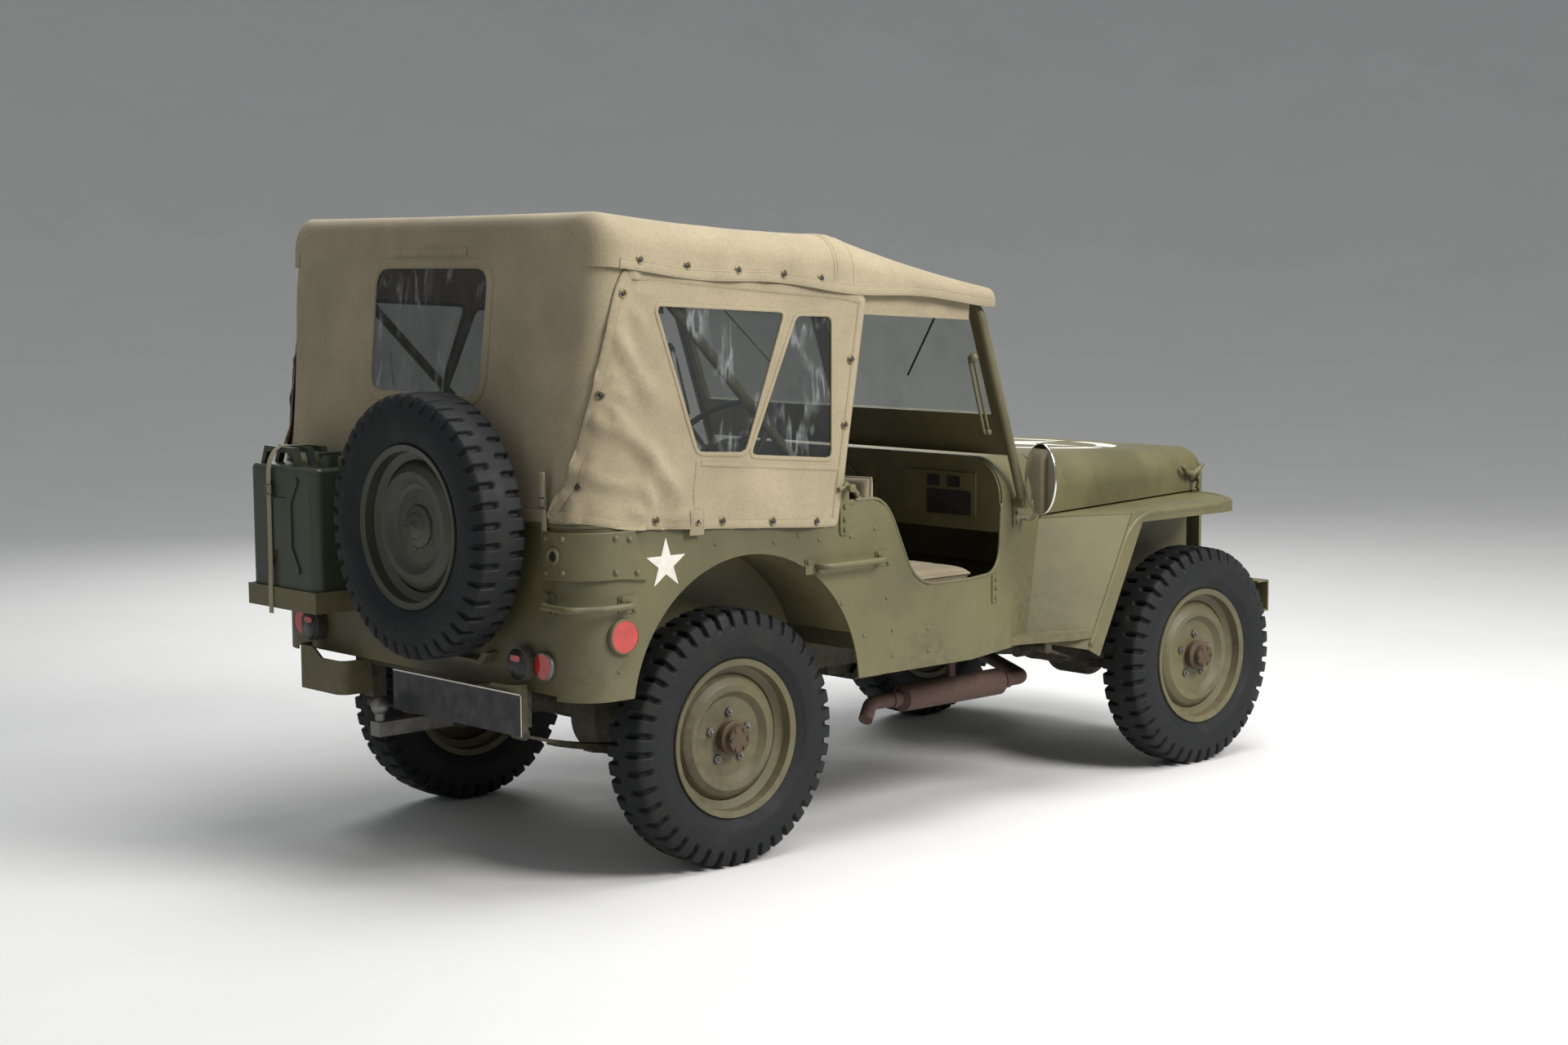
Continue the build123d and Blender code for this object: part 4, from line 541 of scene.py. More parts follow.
def deckSurface(s):
    tail, bow, screen = s["stations"]
    rounding = tail + s["endPlan"] * (1 - np.cos(np.linspace(0.06, 1.5, 16)))
    x = np.sort(np.concatenate([np.linspace(tail, screen, s["rows"]), rounding]))
    sizes = ("half", "top", "corner", "foot")
    half, top, corner, foot = (np.interp(x, s["stations"], s[key])[:, None] for key in sizes)
    inPlan, inTop = (s[key] * (1 - np.sqrt(1 - np.clip(1 - (x - tail) / s[key], 0, 1) ** 2))[:, None]
                     for key in ("endPlan", "endTop"))
    half, top = half - inPlan, top - inTop
    bay = np.where(x > bow, (x - bow) / (screen - bow), (x - tail) / (bow - tail))
    t = np.linspace(0, 1, s["valance"])[None, :]
    valanceY, valanceZ = -half + 0 * t, foot + (top - corner - foot) * t
    turn = np.linspace(0, np.pi / 2, s["arc"] + 1)[None, 1:]
    arcY, arcZ = -half + corner * (1 - np.cos(turn)), top - corner + corner * np.sin(turn)
    t = np.linspace(0, 1, s["crown"] // 2 + 1)[None, 1:]
    y = np.hstack([valanceY, arcY, (-half + corner) * (1 - t)])
    z = np.hstack([valanceZ, arcZ, top + 0 * t])
    y, z = np.hstack([y, -y[:, -2::-1]]), np.hstack([z, z[:, -2::-1]])
    along = np.broadcast_to(x[:, None], y.shape)
    spread = 1 - (y / half) ** 2
    sag = (s["sag"] * 4 * bay * (1 - bay))[:, None]
    z = z - sag * (0.35 + 0.65 * spread) * smoothStep(z, foot, top - 0.3 * corner)
    fold = np.sin(9.0 * along + 7.0 * np.abs(y) + 1.3 * np.sin(5.0 * along)) * spread * np.sin(np.pi * bay)[:, None]
    z = z - np.abs(s["crease"] * fold)
    hang = smoothStep(z, top - corner * 0.8, foot) * np.sign(y)
    swell = 0.4 + 0.6 * np.sin(4.1 * along + 0.7) ** 2
    ripple = np.sin(31.0 * along + 2.2 * np.sin(9.0 * along) + np.sign(y)) * swell
    y = y + hang * (s["ripple"] * ripple + s["flare"])
    z = z + np.abs(hang) * s["scallop"] * np.sin(11.0 * along + 0.5) * smoothStep(z, foot + 0.05, foot)
    deck = np.stack([along, y, z], -1)
    across = np.cumsum(np.linalg.norm(np.diff(deck[:, :, 1:], axis=1, prepend=deck[:, :1, 1:]), axis=2), 1)
    return np.stack([along, across], -1).reshape(-1, 2), deck + np.array([rearX, 0, 0])


s = deckSettings
flat, deckGrid = deckSurface(s)
deckX = deckGrid[:, 0, 0]
points, faces = deckGrid.reshape(-1, 3), gridFaces(*deckGrid.shape[:2])[:, ::-1]
canvasDeck = addPiece("canvasDeck", points, faces, topDuck)
clothMap(canvasDeck, flat)
thicken(canvasDeck, s["thick"])
deckArea = surfaceArea(points, faces)
hemRows = deckX > rearX + s["stations"][0] + s["hemStart"]
for key, column, up in (("Right", 0, -outY), ("Left", -1, outY)):
    hemLine = deckGrid[hemRows, column] + up * 0.0006 + upZ * s["hemRise"]
    hemStrip("valanceHem" + key, hemLine, up, s["hem"])
# bow pocket: a strip that lies on the deck over the middle bow, its rows read between the deck's own
bowX = rearX + s["stations"][1]
pocketUp = unit(np.cross(-aft, np.gradient(deckGrid[int(np.argmin(np.abs(deckX - bowX))), 2:-2], axis=0)))
pocketX = bowX + hemProfile[:, 0] * s["pocket"]
below = np.searchsorted(deckX, pocketX) - 1
part = ((pocketX - deckX[below]) / (deckX[below + 1] - deckX[below]))[:, None, None]
patch = (deckGrid[below] * (1 - part) + deckGrid[below + 1] * part)[:, 2:-2]
patch = patch + (s["pocketLift"][0] + hemProfile[:, 1] * s["pocketLift"][1])[:, None, None] * pocketUp
pocket = addPiece("bowPocket", patch, gridFaces(*patch.shape[:2])[:, ::-1], topDuck)
clothMap(pocket, patch.reshape(-1, 3)[:, :2])
seamMarks(pocket, np.repeat(hemStitch, patch.shape[1]))
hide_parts("canvas_top")
print("deck laid", deckArea)

# rear curtain: cut flat with one window and an arched head that meets the deck's rear edge, then bent round the tub's
# corners; the plan curve's setback and corner change with height, and slow billows stand out between the fastened edges
rearSettings = {"foot": 0.9855, "head": 1.642, "backFoot": tubTail, "backHead": -0.505, "cornerFoot": 0.110,
                "cornerHead": 0.080, "half": 0.7345, "flatHalf": 0.630, "bend": 0.150, "wing": 0.070, "wingEnd": -0.400,
                "window": (0.254, 1.302, 1.640, 0.050), "billow": 0.0045, "spacing": 0.022, "thick": 0.003,
                "hem": 0.030, "tuck": (0.165, 0.046, 0.024), "tuckPitch": 0.0135}


def rearBend(flat, lift=0.0):
    s = rearSettings
    u, z = flat[:, 0], flat[:, 1]
    share = np.clip((z - s["foot"]) / (s["head"] - s["foot"]), 0, 1)
    back = s["backFoot"] + (s["backHead"] - s["backFoot"]) * share
    corner = s["cornerFoot"] + (s["cornerHead"] - s["cornerFoot"]) * share
    side, away = np.sign(u), np.abs(u)
    turn = np.clip((away - s["flatHalf"]) / s["bend"], 0, 1) * np.pi / 2
    run = np.clip(away - s["flatHalf"] - s["bend"], 0, None)
    straight = np.minimum(away, s["flatHalf"]) / s["flatHalf"] * (s["half"] - corner)
    wing = run / s["wing"] * np.clip(s["wingEnd"] - back - corner, 0, None)
    wide, low, high, _ = s["window"]
    edge = smoothStep(np.maximum(away - wide, np.maximum(low - z, z - high)), 0.0, 0.12)
    waves = np.sin(13 * u + 2.5 * np.sin(6 * z)) + 0.6 * np.sin(23 * u - 9 * z)
    billow = s["billow"] * edge * np.sin(np.pi * share) ** 0.6 * waves + lift
    x = back + corner * (1 - np.cos(turn)) + wing - billow * np.cos(turn)
    y = side * (straight + corner * np.sin(turn) + billow * np.sin(turn))
    return np.stack([rearX + x, y, z], -1)


s = rearSettings
span = s["flatHalf"] + s["bend"] + s["wing"]
arch = deckGrid[0, deckSettings["valance"] - 2:1 - deckSettings["valance"]][::-1, 1:]
straightHalf = s["half"] - s["cornerHead"]
archTurn = np.arcsin(np.clip((np.abs(arch[:, 0]) - straightHalf) / s["cornerHead"], 0, 1))
archU = np.minimum(np.abs(arch[:, 0]), straightHalf) * s["flatHalf"] / straightHalf + archTurn / (np.pi / 2) * s["bend"]
rearOutline = np.vstack([[[-span, s["foot"]], [span, s["foot"]], [span, s["head"]]],
                         np.stack([np.sign(arch[:, 0]) * archU, arch[:, 1]], -1), [[-span, s["head"]]]])
wide, low, high, cut = s["window"]
rearHole = roundedPath([[-wide, low], [wide, low], [wide, high], [-wide, high]], cut, 7, True)
flat, faces = cutCloth(rearOutline, [rearHole], s["spacing"])
points = rearBend(flat)
rearCurtain = addPiece("rearCurtain", points, faces[:, ::-1], topDuck)
clothMap(rearCurtain, flat)
thicken(rearCurtain, s["thick"])
rearUp = (-1.0, 0, 0.1)
holePath = shiftLoop(evenPath(rearHole, 0.015, True), -0.016)
rearTrim = [hemStrip("rearWindowHem", rearBend(holePath, 0.0006), rearUp, s["hem"], closed=True)]
tuckHalf, tuckRise, tuckWidth = s["tuck"]
tuckU = np.linspace(-tuckHalf, tuckHalf, 220)
tuckLine = rearBend(np.stack([tuckU, np.full_like(tuckU, high + tuckRise)], -1),
                    0.0012 + 0.0011 * np.sin(tuckU * 2 * np.pi / s["tuckPitch"]))
rearTrim.append(hemStrip("windowTucks", tuckLine, rearUp, tuckWidth))
footPath = np.stack([np.linspace(-span, span, 140), np.full(140, s["foot"] + 0.016)], -1)
bendUp = unit(rearBend(footPath, 0.01) - rearBend(footPath))
rearTrim.append(hemStrip("rearFootHem", rearBend(footPath, 0.0008), bendUp, s["hem"]))
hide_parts("rear_curtain")
2 * span
float(arch[:, 1].max()) - s["foot"]
surfaceArea(points, faces)
print("rear curtain hung")


# clear pane behind an opening of a curtain: the opening let out all round, creased by two crossing wave trains
# that die away at the stitched edge
paneSettings = {"overlap": 0.012, "crease": 0.0016, "free": 0.045, "spacing": 0.013, "sink": -0.0045, "spare": 0.012}


def addPane(name, opening, hang, holder):
    s = paneSettings
    edge = shiftLoop(evenPath(opening, s["spacing"], True), -s["overlap"])
    flat, faces = cutCloth(edge, [], s["spacing"])
    free = smoothStep(loopDistance(flat, edge), s["overlap"], s["overlap"] + s["free"])
    x, z = flat[:, 0], flat[:, 1]
    waves = (np.sin(58 * (x + 0.30 * z) + 2.6 * np.sin(9 * z))
             + 0.6 * np.sin(97 * (x - 0.22 * z) + 2.0 * np.sin(7 * x + 5 * z)))
    points = hang(flat, s["sink"] + s["crease"] * free * waves)
    a, b, c = points[faces[0]]
    away = (hang(flat[:1], 0.01) - hang(flat[:1], 0.0))[0]
    outward = np.cross(b - a, c - a) @ away > 0
    pane = addPiece(name, points, faces if outward else faces[:, ::-1], curtainClearShadeGlint)
    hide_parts("curtain_windows")
    width, height = (round(float(size) + s["spare"], 3) for size in flat.max(0) - flat.min(0))
    surfaceArea(points, faces)


addPane("rearPane", rearHole, rearBend, "rearCurtain")


# plan of the tub's skin: along the side by X, then round the rear corner by arc length; out is the stand-off
def tubPlan(s, sign, out, back=tubTail, corner=0.110):
    over = back + corner - s
    turn = np.clip(over / corner, 0, np.pi / 2)
    run = np.clip(over - corner * np.pi / 2, 0, None)
    x = np.where(over < 0, s, back + corner - corner * np.sin(turn)) - out * np.sin(turn)
    y = tubHalf - corner * (1 - np.cos(turn)) - run + out * np.cos(turn)
    return rearX + x, sign * y, turn


# side curtains: each cut flat with two windows, hung outside the tub and wrapped round the rear corner over the rear
# curtain; ripples run between the fasteners, drag lines fan out from the rear ones and die away with distance, and
# long folds are a ridge beside a valley across a line
curtainSettings = {
    "outline": [(-0.655, 1.000), (-0.560, 0.992), (-0.430, 0.968), (0.325, 0.918), (0.436, 1.556), (0.359, 1.572),
                (-0.425, 1.640), (-0.452, 1.590), (-0.520, 1.318), (-0.590, 1.090)],
    "panes": [[(-0.319, 1.541), (0.127, 1.515), (-0.017, 1.146), (-0.181, 1.156)],
              [(0.175, 1.505), (0.303, 1.500), (0.300, 1.112), (0.004, 1.138)]],
    "snaps": [(-0.430, 1.575), (-0.497, 1.318), (-0.560, 1.085), (-0.334, 0.985), (-0.201, 0.974), (-0.101, 0.966),
              (0.075, 0.952), (0.236, 0.940), (0.375, 1.380), (0.350, 1.200)], "dragSnaps": 4,
    "folds": [(-0.470, 1.490, -0.340, 1.300), (-0.530, 1.265, -0.330, 1.150), (-0.575, 1.130, -0.385, 1.065),
              (-0.380, 1.180, -0.250, 1.040)],
    "seams": [[(-0.184, 1.128), (-0.205, 0.975)], [(-0.172, 1.124), (0.336, 1.080)]], "tab": (-0.201, 0.938, 1.004),
    "sill": 0.985, "tall": 0.655, "backDrop": 0.070, "cornerDrop": 0.030, "out": 0.0055, "ripple": 0.0046,
    "drag": 0.0150, "dragReach": 0.11, "fold": 0.0135, "foldWidth": 0.024, "spacing": 0.016, "thick": 0.003,
    "hem": 0.026, "paneHem": 0.012, "seam": 0.014, "tabWidth": 0.050}


def sideHang(flat, sign, lift=0.0):
    s = curtainSettings
    x, z = flat[:, 0], flat[:, 1]
    share = np.clip((z - s["sill"]) / s["tall"], 0, 1)
    low = smoothStep(z, 1.14, 0.97)
    near = np.min([loopDistance(flat, loop) for loop in sidePanes], axis=0)
    loose = smoothStep(near, 0.0, 0.09) * ~np.any([insideLoop(flat, loop) for loop in sidePanes], axis=0)
    pull = (np.sin(17 * x + 5 * z + 2 * np.sin(7 * z)) + 0.7 * np.sin(31 * x - 11 * z)
            + 0.9 * np.sin(26 * (x * 0.8 - z * 0.6)) * smoothStep(x, -0.25, -0.45))
    sway = s["ripple"] * pull * (0.55 + 0.6 * low) + 0.004 * low
    for snapX, snapZ in s["snaps"][:s["dragSnaps"]]:
        away, angle = np.hypot(x - snapX, z - snapZ), np.arctan2(z - snapZ, x - snapX)
        fan = s["drag"] * np.sin(7 * angle + 1.4) * np.exp(-away / s["dragReach"])
        sway = sway + fan * smoothStep(away, 0.01, 0.07)
    for startX, startZ, endX, endZ in s["folds"]:
        runX, runZ = endX - startX, endZ - startZ
        length = np.hypot(runX, runZ)
        along = ((x - startX) * runX + (z - startZ) * runZ) / length ** 2
        aside = ((x - startX) * runZ - (z - startZ) * runX) / length / s["foldWidth"]
        taper = smoothStep(along, -0.15, 0.3) * smoothStep(along, 1.25, 0.6)
        sway = sway + s["fold"] * taper * (np.exp(-aside ** 2) - 0.7 * np.exp(-(aside - 1.7) ** 2))
    sway = np.maximum(sway * loose, -0.002)
    placeX, placeY, _ = tubPlan(x, sign, s["out"] + sway + lift, tubTail + s["backDrop"] * share,
                                0.110 - s["cornerDrop"] * share)
    return np.stack([placeX, placeY, z], -1)


# how the hung cloth faces, from two lifts of the same points
def facing(flat, sign):
    return unit(sideHang(flat, sign, 0.01) - sideHang(flat, sign))


s = curtainSettings
sidePanes = [roundedPath(pane, 0.014, 5, True) for pane in s["panes"]]
curtainEdge = roundedPath(s["outline"], 0.02, 4, True)
flat, faces = cutCloth(curtainEdge, sidePanes, s["spacing"])
hemLine = shiftLoop(evenPath(curtainEdge, 0.015, True), s["hem"] * 0.52)
for side, sign in sides:
    points = sideHang(flat, sign)
    piece = addPiece("sideCurtain" + side, points, faces if sign < 0 else faces[:, ::-1], topDuck)
    clothMap(piece, flat)
    thicken(piece, s["thick"])

    def curtainStrip(name, line, lift, width, **more):
        hemStrip(name, sideHang(line, sign, lift), facing(line, sign), width, **more)

    for number, pane in enumerate(sidePanes):
        line = shiftLoop(evenPath(pane, 0.010, True), -s["paneHem"] * 0.5)
        curtainStrip(f"paneHem{side}{number}", line, 0.0006, s["paneHem"], closed=True, thick=0.0009)
        addPane(f"sidePane{side}{number}", pane, lambda flat, lift: sideHang(flat, sign, lift), "sideCurtain" + side)
    for number, seam in enumerate(s["seams"]):
        curtainStrip(f"curtainSeam{side}{number}", evenPath(seam, 0.012), 0.0004, s["seam"], thick=0.0009)
    tabX, tabLow, tabHigh = s["tab"]
    tab = np.stack([np.full(8, tabX), np.linspace(tabLow, tabHigh, 8)], -1)
    curtainStrip("curtainTab" + side, tab, 0.003, s["tabWidth"], thick=0.0016)
    curtainStrip("curtainHem" + side, hemLine, 0.0006, s["hem"], closed=True)
    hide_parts("side_curtains")
    surfaceArea(points, faces)
print("side curtains hung")

# header flaps: a short sheet hanging inside the deck's edge on each side, ahead of the curtains, waving along its foot
flapSettings = {"from": 0.425, "to": 0.900, "foot": (1.505, 1.478), "deep": 0.075, "inset": 0.024, "wave": 0.0035,
                "lean": 0.004, "thick": 0.002, "rows": 8, "columns": 40}
s = flapSettings
share, drop = np.meshgrid(np.linspace(0, 1, s["columns"]), np.linspace(0, 1, s["rows"]), indexing="ij")
flapX = s["from"] + (s["to"] - s["from"]) * share
flapZ = s["foot"][0] + (s["foot"][1] - s["foot"][0]) * share + s["deep"] * (1 - drop)
deckHalf = np.interp(flapX, deckSettings["stations"], deckSettings["half"]) - s["inset"]
flapY = deckHalf + s["wave"] * drop * np.sin(24 * flapX + 1.1) - s["lean"] * drop
faces = gridFaces(s["columns"], s["rows"])
for side, sign in sides:
    points = np.stack([rearX + flapX, sign * flapY, flapZ], -1).reshape(-1, 3)
    flap = addPiece("headerFlap" + side, points, faces if sign < 0 else faces[:, ::-1], topDuck)
    clothMap(flap, np.stack([flapX, flapZ], -1).reshape(-1, 2))
    thicken(flap, s["thick"])
    surfaceArea(points, faces)
print("header flaps hung")

# seat pads: two sheets that meet in a corded welt at half height; each stands off by a root of two even powers that
# fall to nothing at the edges, the upper is crowned and sewn down along channels, the sides pull in between corners
padSettings = {"rows": 44, "columns": 84, "edge": 10, "root": 0.32, "crown": 0.20, "pull": 0.024, "channel": 0.0085,
               "narrow": 0.085, "welt": 0.0042, "thick": 0.060, "backTall": 0.270, "backRise": 0.205,
               "backGap": 0.0223, "frontGap": 0.020, "backIn": 0.020, "panLift": 0.0305,
               # each pad's middle, width, back's station, depth, pan height and count of rolls
               "pads": [("driver", 0.415, 0.440, 0.515, 0.430, 0.690, 4),
                        ("passenger", -0.415, 0.440, 0.515, 0.430, 0.690, 4),
                        ("bench", 0.0, 0.780, -0.400, 0.400, 0.735, 8)]}


def padSurface(centre, size, rolls, s):
    thin = int(np.argmin(size))
    half = np.asarray(size) / 2
    rise, run = np.eye(3)[thin], np.eye(3)[2 - thin]
    steps = (np.sin(np.linspace(-np.pi / 2, np.pi / 2, count)) for count in (s["rows"], s["columns"]))
    a, b = np.meshgrid(*steps, indexing="ij")
    fall = np.clip((1 - np.abs(a) ** s["edge"]) * (1 - np.abs(b) ** s["edge"]), 0, 1) ** s["root"]
    crown = 1 - s["crown"] + s["crown"] * (1 - a ** 2) * (1 - b ** 2)
    roll = ((b + 1) / 2 * rolls + 0.5) % 1.0 - 0.5
    channel = np.exp(-(roll / s["narrow"]) ** 2) * (np.abs(b) < 1 - 1 / rolls) * smoothStep(fall, 0.2, 0.9)
    deep, wide = half[2 - thin] * a * (1 - s["pull"] * (1 - b ** 2)), half[1] * b * (1 - s["pull"] * (1 - a ** 2))
    spread = deep[..., None] * run + wide[..., None] * outY
    upper = spread + (half[thin] * fall * crown - s["channel"] * channel)[..., None] * rise
    lower = spread - (half[thin] * fall)[..., None] * rise
    rim = np.vstack([spread[:, 0], spread[-1, 1:], spread[-2::-1, -1], spread[0, -2:0:-1]])
    quads = gridFaces(s["rows"], s["columns"])[:, ::-1 if thin == 2 else 1]
    points, faces = joinSets((upper.reshape(-1, 3), quads), (lower.reshape(-1, 3), quads[:, ::-1]),
                             barSet(rim, rise, s["welt"], closed=True))
    return points + np.asarray(centre), faces


s = padSettings
for name, y, width, backX, depth, panZ, rolls in s["pads"]:
    squab, deep = rearX + backX + s["backGap"], depth - s["frontGap"]
    seat = (squab + s["frontGap"] + deep / 2, y, panZ + s["panLift"]), (deep, width, s["thick"])
    back = (squab + s["thick"] / 2, y, panZ + s["backRise"]), (s["thick"], width - s["backIn"], s["backTall"])
    for part, (centre, size) in (("Seat", seat), ("Back", back)):
        points, faces = padSurface(centre, size, rolls, s)
        pad = addPiece(name + part, points, faces, seatDuck)
        clothMap(pad, np.stack([points[:, 1], points[:, 0] + points[:, 2]], -1))
        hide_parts("seat_cushions")
print("seats padded")


# small turned pieces set along a list of places: rings of (radius, height) about each facing direction
def studField(places, ways, rings, sides=10):
    places, rings = np.atleast_2d(np.asarray(places, float)), np.asarray(rings, float)
    ways = unit(np.broadcast_to(np.asarray(ways, float), places.shape))
    helper = np.where(np.abs(ways[:, 2:3]) > 0.9, -aft, upZ)
    first = unit(np.cross(helper, ways))
    turn = np.linspace(0, 2 * np.pi, sides, endpoint=False)
    ringX, ringY = rings[:, 0, None] * np.cos(turn), rings[:, 0, None] * np.sin(turn)
    local = np.stack([ringX, ringY, np.broadcast_to(rings[:, 1, None], ringX.shape)], -1).reshape(-1, 3)
    points = places[:, None, :] + np.einsum("kj,pjc->pkc", local, np.stack([first, np.cross(ways, first), ways], 1))
    one = gridFaces(len(rings), sides, False, True)
    faces = one[None] + (np.arange(len(places)) * len(local))[:, None, None]
    return points.reshape(-1, 3), faces.reshape(-1, 4)


rivetRings = np.array([(1.0, 0.0), (0.95, 0.28), (0.72, 0.55), (0.36, 0.70), (0.0, 0.74)])
boltRings = np.array([(1.0, 0.0), (1.0, 0.62), (0.86, 0.74), (0.0, 0.76)])
eyeletRings = np.array([(1.0, 0.0), (0.95, 0.18), (0.75, 0.24), (0.55, 0.14), (0.5, 0.0)])


def rivets(places, ways, radius, height, count=10):
    return studField(places, ways, rivetRings * (radius, height), count)


def bolts(places, ways, radius, height, count=6):
    return studField(places, ways, boltRings * (radius, height), count)


# a flat layer with depth between edges in two directions of a plane: a plate's faces are fans drawn in to its middle,
# a band runs between two edges of equal count
def layerSet(inner, outer, origin, right, up, depth, band=False):
    origin, right, up = (np.asarray(v, float) for v in (origin, right, up))
    flat = np.vstack([inner, outer, outer, inner])
    rises = np.repeat([0.0, 0.0, depth, depth], len(inner))[:, None]
    points = origin + flat[:, :1] * right + flat[:, 1:] * up + rises * np.cross(right, up)
    return points, gridFaces(4, len(inner), band, not band)


def plateSet(outline, origin, right, up, depth):
    return layerSet(outline * 0, outline, origin, right, up, depth)


def flankPlate(outline, x, z, sign, depth, y=0.7352):
    return plateSet(outline, spot(x, sign * y, z), (-sign, 0, 0), upZ, depth)


def rearPlate(outline, x, y, z, depth):
    return plateSet(outline, spot(x, y, z), -outY, upZ, depth)


def boxEdge(width, height, cut=0.004):
    corners = np.array([[-1, -1], [1, -1], [1, 1], [-1, 1]]) * (width / 2, height / 2)
    return roundedPath(corners, cut, 4, True)


def starEdge(radius, turn=np.pi / 2):
    angle = turn + np.arange(10) * np.pi / 5
    reach = np.where(np.arange(10) % 2 == 0, radius, radius * 0.382)
    return np.stack([reach * np.cos(angle), reach * np.sin(angle)], -1)


# faces of a CAD node given another finish where a test on their middles holds
def refinish(name, material, test):
    polygons = nodes[name].data.polygons
    middles, ways, slots = np.empty(len(polygons) * 3), np.empty(len(polygons) * 3), np.empty(len(polygons), np.int32)
    polygons.foreach_get("center", middles)
    polygons.foreach_get("normal", ways)
    polygons.foreach_get("material_index", slots)
    materials = nodes[name].data.materials
    materials.append(material)
    chosen = test(middles.reshape(-1, 3), ways.reshape(-1, 3))
    polygons.foreach_set("material_index", np.where(chosen, len(materials) - 1, slots).astype(np.int32))
    nodes[name].data.update()


# places on a circle about a centre, on the two axes named
def boltCircle(centre, radius, count, start=0.0, axes=(0, 2)):
    turn = np.arange(count) * 2 * np.pi / count + start
    places = np.tile(centre, (count, 1))
    places[:, axes] += np.stack([radius * np.cos(turn), radius * np.sin(turn)], -1)
    return places


# wheels: rusted hubs, a dark drum behind the disc, five nuts on the disc and bolts round the hub's end
wheelSettings = {"studs": 5, "nutCircle": 0.070, "nutTurn": 0.3, "nut": (0.0125, 0.017), "tip": (0.0066, 0.014),
                 "tipLift": 0.010, "face": 0.0222, "bolts": 6, "hubCircle": 0.0295, "hubFace": 0.0762,
                 "head": (0.0052, 0.006), "flangeFace": 0.0445, "hub": (0.047, 0.024), "drum": (0.130, 0.010),
                 "front": [(0.0485, 0.0), (0.0485, 0.007), (0.0450, 0.009), (0.0372, 0.0095)],
                 "rear": [(0.0475, 0.0), (0.0475, 0.010), (0.0430, 0.013), (0.0372, 0.0135)],
                 "cap": [(0.058, 0.0), (0.057, 0.006), (0.052, 0.008), (0.036, 0.008), (0.034, 0.013), (0.026, 0.016),
                         (0.010, 0.017), (0.010, 0.023), (0.0, 0.025)], "capHole": (0.011, 0.006)}
s = wheelSettings
for key, (body, centre, sign) in wheelPlaces.items():
    away = lambda p: np.hypot(p[:, 0] - centre[0], p[:, 2] - centre[2])
    past = lambda p: np.abs(p[:, 1]) - halfTrack
    refinish(body, hubRust, lambda p, n: (away(p) < s["hub"][0]) & (past(p) > s["hub"][1]))
    refinish(body, darkOlive, lambda p, n: (away(p) < s["drum"][0]) & (past(p) < s["drum"][1]))
    out = sign * outY
    places = boltCircle(centre + out * s["face"], s["nutCircle"], s["studs"], s["nutTurn"])
    nuts = joinSets(bolts(places, out, *s["nut"]), rivets(places + out * s["tipLift"], out, *s["tip"], 8))
    addPiece("wheelNuts_" + key, *nuts, bareSteel, body, smooth=False)
    heads = bolts(boltCircle(centre + out * s["hubFace"], s["hubCircle"], s["bolts"]), out, *s["head"])
    ring = studField(centre + out * s["flangeFace"], out, s[key.split("_")[0]], 28)
    addPiece("hubBolts_" + key, *joinSets(heads, ring), hubRust, body, smooth=False)
spareFace = spareCentre + aft * s["face"]
places = boltCircle(spareFace, s["nutCircle"], s["studs"], axes=(1, 2))
holes = studField(places, aft, eyeletRings * s["capHole"], 14)
addPiece("spareCap", *joinSets(studField(spareFace, aft, s["cap"], 28), holes), spareOliveShaded)
print("wheels bolted")


# places on the tub's skin, by station and height, and the ways they face
def skinPlaces(marks, sign, out):
    marks = np.atleast_2d(marks)
    x, y, turn = tubPlan(marks[:, 0], sign, out)
    return np.stack([x, y, marks[:, 1]], -1), np.stack([-np.sin(turn), sign * np.cos(turn), 0 * turn], -1)


# rear corner plates: a sheet wrapped over each corner, its rear edge straight and its side edge slanting, bolted down
# beside a socket, its hole a black disc of painted shade; pads under the handle's two feet
cornerSettings = {"low": 0.842, "high": 0.967, "rear": -0.672, "side": (-0.405, -0.360), "droop": 0.010,
                  "stand": 0.0130, "thick": 0.0125, "edge": 0.0025, "rows": 10, "columns": 46, "bolt": (0.0090, 0.010),
                  "bolts": [(-0.655, 0.950), (-0.655, 0.862), (-0.600, 0.950), (-0.600, 0.862), (-0.470, 0.950),
                            (-0.470, 0.862), (-0.400, 0.856), (-0.425, 0.945)],
                  "socket": (-0.628, 0.905), "socketSize": (0.024, 0.030), "holeShade": [(0.0125, 0.0008), (0.0, 0.0009)],
                  "pad": (0.062, 0.046), "padX": -0.425, "padY": 0.7354, "padZ": 0.775, "padThick": 0.0035,
                  "padNut": (0.0072, 0.009), "padSpread": (0.020, 0.014), "rearPad": (-0.5754, 0.605),
                  "rearSpread": 0.022}
s = cornerSettings
